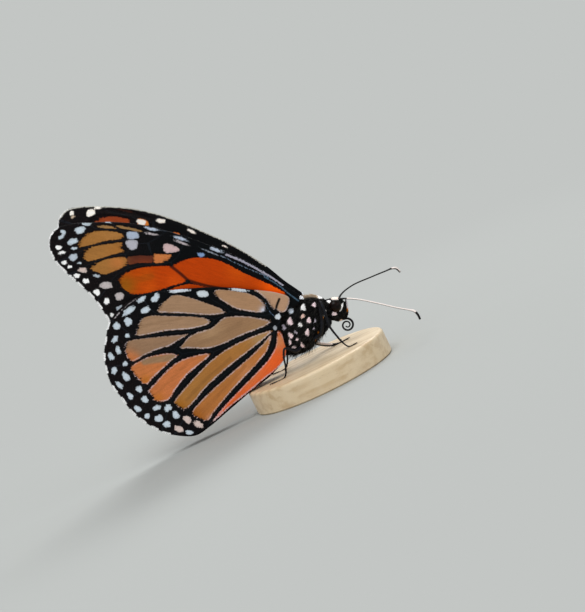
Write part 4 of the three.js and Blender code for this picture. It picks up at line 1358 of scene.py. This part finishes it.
# Points along each leg, x, y and z, and its radii at as many even steps
TOE = BASE_TOP + 0.14
LEGS = {
    "foreleg_right": [(1.2, -0.9, -6.2, 0.36), (2.6, -1, -5.75, 0.36), (3.4, -1.2, -6.05, 0.34),
                      (3.45, -1.3, -6.75, 0.3), (2.8, -1.4, -7.25, 0.27), (1.8, -1.4, -7.8, 0.22),
                      (0.9, -1.3, -8.4, 0.16)],
    "midleg_right": [(-0.9, -1.8, -8.2, 0.34), (0.9, -2.8, -7.8, 0.34), (2.4, -2.9, -5.2, 0.32),
                     (3.2, -3.3, -2.5, 0.28), (3.6, -3.8, -2, 0.25), (3.7, -4.2, -2.7, 0.26),
                     (3.55, -4.4, -4.2, 0.27), (3.2, -4.5, -6.7, 0.25), (3.6, -4.7, -9, 0.2),
                     (4.2, -4.9, -11, 0.17), (4.9, -5.1, TOE, 0.13), (6.3, -5.4, TOE, 0.1)],
    "midleg_left": [(-0.9, 1.8, -8.4, 0.34), (-1.2, 3.6, -8.6, 0.36), (-1.9, 5, -8.4, 0.36),
                    (-1.2, 5.2, -9.9, 0.38), (0.5, 5.3, -11.2, 0.34), (2.4, 5.4, TOE, 0.18),
                    (5, 5.6, TOE, 0.1)],
    "hindleg_right": [(-3.8, -1.9, -8.6, 0.34), (-4.9, -3.9, -8.6, 0.3), (-6.5, -4.7, -7.1, 0.23),
                      (-7.4, -4.9, -8.6, 0.19), (-7.9, -5.1, -10.4, 0.17), (-8.9, -5.3, TOE, 0.13),
                      (-11.7, -5.6, TOE, 0.1)],
    "hindleg_left": [(-3.8, 1.9, -8.6, 0.34), (-4.7, 3.9, -8.6, 0.3), (-6.2, 4.8, -7.4, 0.24),
                     (-6.9, 5, -8.8, 0.2), (-7.7, 5.2, -10.7, 0.17), (-8.8, 5.4, TOE, 0.13),
                     (-11.6, 5.8, TOE, 0.1)],
}
LEGS["foreleg_left"] = [(x, -y, z, r) for x, y, z, r in LEGS["foreleg_right"]]
PALE_SHIN = "midleg_left"
FOOT_SEGMENTS = 32
CLAW_SPREAD = 0.16
CLAW_REACH = 0.42
CLAW_RADII = [0.07, 0.06, 0.02]

TONGUE_CENTRE_X, TONGUE_CENTRE_Z = 6.2, -8.8
TONGUE_INNER, TONGUE_PITCH, TONGUE_TURNS = 0.32, 0.6, 1.7
TONGUE_ROOT = (5.7, 0, -7.2)
TONGUE_RADII = [0.12, 0.17, 0.2, 0.23]
TONGUE_SEGMENTS = 90


def joined(surfaces):
    """Several closed surfaces as one."""
    points, faces, uv = [], [], []
    start = 0
    for part_points, part_faces, part_uv in surfaces:
        points.append(part_points)
        faces += [tuple(i + start for i in face) for face in part_faces]
        uv += part_uv
        start += len(part_points)
    return np.vstack(points), faces, uv


def ringed(t, rings, height):
    """Widens a limb by a share of its radius at each of its rings."""
    return 1 + height * np.abs(np.sin(np.pi * rings * t))


def make_antennae(finish):
    """Ringed feelers that end in clubs, with a painted highlight along the top of a stretch of each.
    """
    for name, path in ANTENNAE.items():
        surface, _, share = limb(path, ANTENNA_RADII, sides=16, step=0.07,
                                 ripple=lambda t: ringed(t, ANTENNA_SEGMENTS, 0.06))
        feeler = new_piece(f"antenna_{name}", surface, [finish])
        start, end = ANTENNA_HIGHLIGHT[name]
        above = smooth(-0.5, 0.2, normals_of(feeler)[:, 2])
        stretch = smooth(start - 0.04, start, share) * smooth(end, end - 0.04, share)
        # The pale mark here is a painted highlight on the feeler's upper side
        add_marks(feeler, pale=above * stretch)
        keep(feeler, "horn", f"antenna_{name}")


def make_tongue(finish):
    """The tongue winds outwards from its tip, up to the underside of the head."""
    turn = np.linspace(0, TONGUE_TURNS, 40)
    angle = np.pi / 2 + 2 * np.pi * (turn - TONGUE_TURNS)
    reach = TONGUE_INNER + TONGUE_PITCH * turn
    coil = np.column_stack([TONGUE_CENTRE_X + reach * np.cos(angle), np.zeros_like(turn),
                            TONGUE_CENTRE_Z + reach * np.sin(angle)])
    surface, _, _ = limb(np.vstack([coil, TONGUE_ROOT]), TONGUE_RADII, sides=16, step=0.05,
                         ripple=lambda t: ringed(t, TONGUE_SEGMENTS, 0.05))
    keep(new_piece("proboscis", surface, [finish]), "horn", "proboscis")


def claws(foot, ahead):
    """Two small hooked claws at the end of a foot."""
    across = np.cross(ahead, (0, 0, 1)) * CLAW_SPREAD
    for side in SIDES.values():
        middle = foot + ahead * CLAW_REACH * 0.6 + across * side + (0, 0, 0.06)
        tip = foot + ahead * CLAW_REACH + across * side * 1.3 + (0, 0, -0.1)
        yield limb([foot, middle, tip], CLAW_RADII, sides=8, step=0.05)[0]


def make_legs(rule, finish):
    """Jointed, bristly legs: four stand on the base, and the forelegs are folded to the chest."""
    for name, rows in LEGS.items():
        path, radii = [row[:3] for row in rows], [row[3] for row in rows]
        standing = not name.startswith("foreleg")
        leg_surface, along, share = limb(
            path, radii, sides=18, step=0.09, level=BASE_TOP + 0.02 if standing else None,
            ripple=lambda t: 1 + 0.12 * smooth(0.72, 0.8, t) * np.sin(np.pi * FOOT_SEGMENTS * t) ** 2)
        surfaces = [leg_surface]
        if standing:
            foot = np.array(path[-1])
            ahead = foot - path[-2]
            surfaces += claws(foot, ahead / np.linalg.norm(ahead))
        surface = joined(surfaces)
        on_claws = len(surface[0]) - len(share)
        leg = new_piece(name, surface, [finish], lie=np.vstack([along, np.zeros((on_claws, 3))]))
        # The shin is whitish on top: a band of pale scales, with a painted highlight where light falls
        # on it
        if name == PALE_SHIN:
            shin = smooth(0.42, 0.46, share) * smooth(0.74, 0.7, share)
            above = smooth(-0.25, 0, normals_of(leg)[:, 2])
            add_marks(leg, pale=above * np.append(shin, np.zeros(on_claws)))
        keep(leg, "horn", name)
        hair = np.append(smooth(0.3, 0.45, share), np.zeros(on_claws)) if standing else 1
        sizes = COATS["standing_leg" if standing else "foreleg"]
        grow_coat(rule, f"{name}_hairs", leg, hair, finish, "horn", sizes)


# ---- Base -----------------------------------------------------------------------------------

BASE_BEVEL = 0.6
BASE_CHAMFER = 0.3


def make_base(finish):
    """A turned disc: flat underneath, a softly rounded top edge and a small chamfer below."""
    bottom = BASE_TOP - BASE_THICKNESS
    inside, below = BASE_RADIUS - BASE_BEVEL, BASE_TOP - BASE_BEVEL
    under = [(r, bottom) for r in np.linspace(1, BASE_RADIUS - BASE_CHAMFER, 12)]
    wall = [(BASE_RADIUS, z) for z in np.linspace(bottom + BASE_CHAMFER, below, 6)[:-1]]
    edge = [(inside + BASE_BEVEL * math.cos(a), below + BASE_BEVEL * math.sin(a))
            for a in np.linspace(0, np.pi / 2, 9)]
    over = [(r, BASE_TOP) for r in np.linspace(inside, 1, 12)[1:]]
    turn = np.linspace(0, 2 * np.pi, 144, endpoint=False)
    circle = np.column_stack([np.cos(turn), np.sin(turn), np.zeros_like(turn)])
    rings = np.array([circle * r + (BASE_CENTRE_X, 0, z) for r, z in under + wall + edge + over])
    surface = rings_closed(rings, (BASE_CENTRE_X, 0, bottom), (BASE_CENTRE_X, 0, BASE_TOP))
    base = new_piece("stand_base_turned", surface, [finish])
    base.data.set_sharp_from_angle(angle=math.radians(40))
    keep(base, "base", "stand_base")


# ---- Camera, floor and light ----------------------------------------------------------------

VIEW_AZIMUTH = math.radians(3.3)
VIEW_ELEVATION = math.radians(6.7)
VIEW_ROLL = math.radians(26)
VIEW_DISTANCE = 480
VIEW_LENS = 145.4
VIEW_LEFT, VIEW_BELOW = 1.262, 1.165  # where the middle of the view lies, from the right hinge
BACKGROUND = paint("#C3C6C4")
FLOOR_RADIUS = 30.0  # metres
SKY_LIGHT = 0.62
LAMP_DISTANCE = 0.7  # metres
LAMP_AIM = (-14, 0, 6)

# Each lamp's way out from the model, as shares towards the camera, to its right and up, then its
# size in metres and its watts
LAMPS = {
    "key_lamp": (0.75, -0.5, 0.75, 0.5, 2.6),
    "fill_lamp": (0.6, 0.9, 0.1, 0.6, 0.9),
    "rim_lamp": (-0.6, -0.1, 0.9, 0.35, 2.6),
}


def make_camera():
    """The camera, from the insect's right and a little above, turned on its own line of sight."""
    sin_a, cos_a = math.sin(VIEW_AZIMUTH), math.cos(VIEW_AZIMUTH)
    sin_e, cos_e = math.sin(VIEW_ELEVATION), math.cos(VIEW_ELEVATION)
    back = Vector((sin_a * cos_e, -cos_a * cos_e, sin_e))
    level = Vector((cos_a, sin_a, 0))
    upright = Vector((-sin_a * sin_e, cos_a * sin_e, cos_e))
    right = level * math.cos(VIEW_ROLL) - upright * math.sin(VIEW_ROLL)
    up = level * math.sin(VIEW_ROLL) + upright * math.cos(VIEW_ROLL)
    aim = Vector((0, -HINGE_HALF_GAP, 0)) - right * VIEW_LEFT - up * VIEW_BELOW
    data = bpy.data.cameras.new("camera")
    data.lens = VIEW_LENS
    data.clip_start = 0.01
    camera = placed("camera", data)
    place = Matrix((right, up, back)).transposed().to_4x4()
    place.translation = Vector(in_frame(aim + back * VIEW_DISTANCE))
    camera.matrix_world = place
    bpy.context.scene.camera = camera
    return right, up, back


def seen_directly(net):
    """1 for the rays that see the background itself: from the camera, or by a mirror or glass."""
    path = net.node("ShaderNodeLightPath")
    names = ("Is Camera Ray", "Is Glossy Ray", "Is Transmission Ray")
    camera, mirror, glass = (Wire(net, path.outputs[name]) for name in names)
    return net.maths("MAXIMUM", net.maths("MAXIMUM", camera, mirror), glass)


def make_floor():
    """A pale floor that fades into the plain background away from the model."""
    material = bpy.data.materials.new("pale_floor")
    material.use_nodes = True
    net = Net(material.node_tree)
    where = net.place()
    away = net.wire("ShaderNodeVectorMath", {"operation": "LENGTH"}, {0: where}, output=1)
    speck = net.noise(where, 600.0, 3.0)
    colour = net.mix(speck * 0.1, paint("#ADB0AE"), paint("#A3A5A3"))
    matt = net.wire("ShaderNodeBsdfDiffuse", {}, {"Color": colour})
    plain = net.wire("ShaderNodeEmission", {}, {"Color": BACKGROUND, "Strength": 1.0})
    fade = net.rise(away, 0.05, 0.16) * seen_directly(net)
    surface = net.wire("ShaderNodeMixShader", {}, {0: fade, 1: matt, 2: plain})
    net.node("ShaderNodeOutputMaterial", {}, {"Surface": surface})
    turn = np.linspace(0, 2 * np.pi, 64, endpoint=False)
    ring = FLOOR_RADIUS * np.column_stack([np.cos(turn), np.sin(turn), np.zeros_like(turn)])
    mesh = bpy.data.meshes.new("floor")
    mesh.from_pydata(ring.tolist(), [], [tuple(range(len(ring)))])
    mesh.materials.append(material)
    placed("floor", mesh)


def make_light(right, up, back):
    """Light from all round, a large lamp high on the left, a weak one on the right, one behind."""
    world = bpy.data.worlds.new("studio")
    bpy.context.scene.world = world
    world.use_nodes = True
    net = Net(world.node_tree)
    light = net.wire("ShaderNodeBackground", {}, {"Color": (1, 1, 1, 1), "Strength": SKY_LIGHT})
    plain = net.wire("ShaderNodeBackground", {}, {"Color": BACKGROUND, "Strength": 1.0})
    surface = net.wire("ShaderNodeMixShader", {}, {0: seen_directly(net), 1: light, 2: plain})
    net.node("ShaderNodeOutputWorld", {}, {"Surface": surface})
    for name, (backwards, rightwards, upwards, size, watts) in LAMPS.items():
        way = back * backwards + right * rightwards + up * upwards
        data = bpy.data.lights.new(name, "AREA")
        data.size = size
        data.energy = watts
        lamp = placed(name, data)
        lamp.location = Vector(in_frame(LAMP_AIM)) + way.normalized() * LAMP_DISTANCE
        lamp.rotation_euler = way.to_track_quat("Z", "Y").to_euler()


bpy.context.scene.view_settings.view_transform = "Standard"
view = make_camera()
make_floor()
make_light(*view)
coat = coat_rule()
fur_skin = fur_finish("fur_skin", tuft=False)
fur_tufts = fur_finish("fur_tufts", tuft=True)
horn = horn_finish("black_horn", "#06080E", "#252D40")
make_wings(coat, fur_tufts)
make_body(coat, fur_skin, fur_tufts)
make_shoulder_lobes(coat, fur_skin, fur_tufts)
make_palps(coat, fur_skin, fur_tufts)
make_eyes(eye_finish())
make_antennae(horn_finish("feeler_horn", "#0A0808", "#4A403C"))
make_tongue(horn)
make_legs(coat, horn)
make_base(maple_finish())
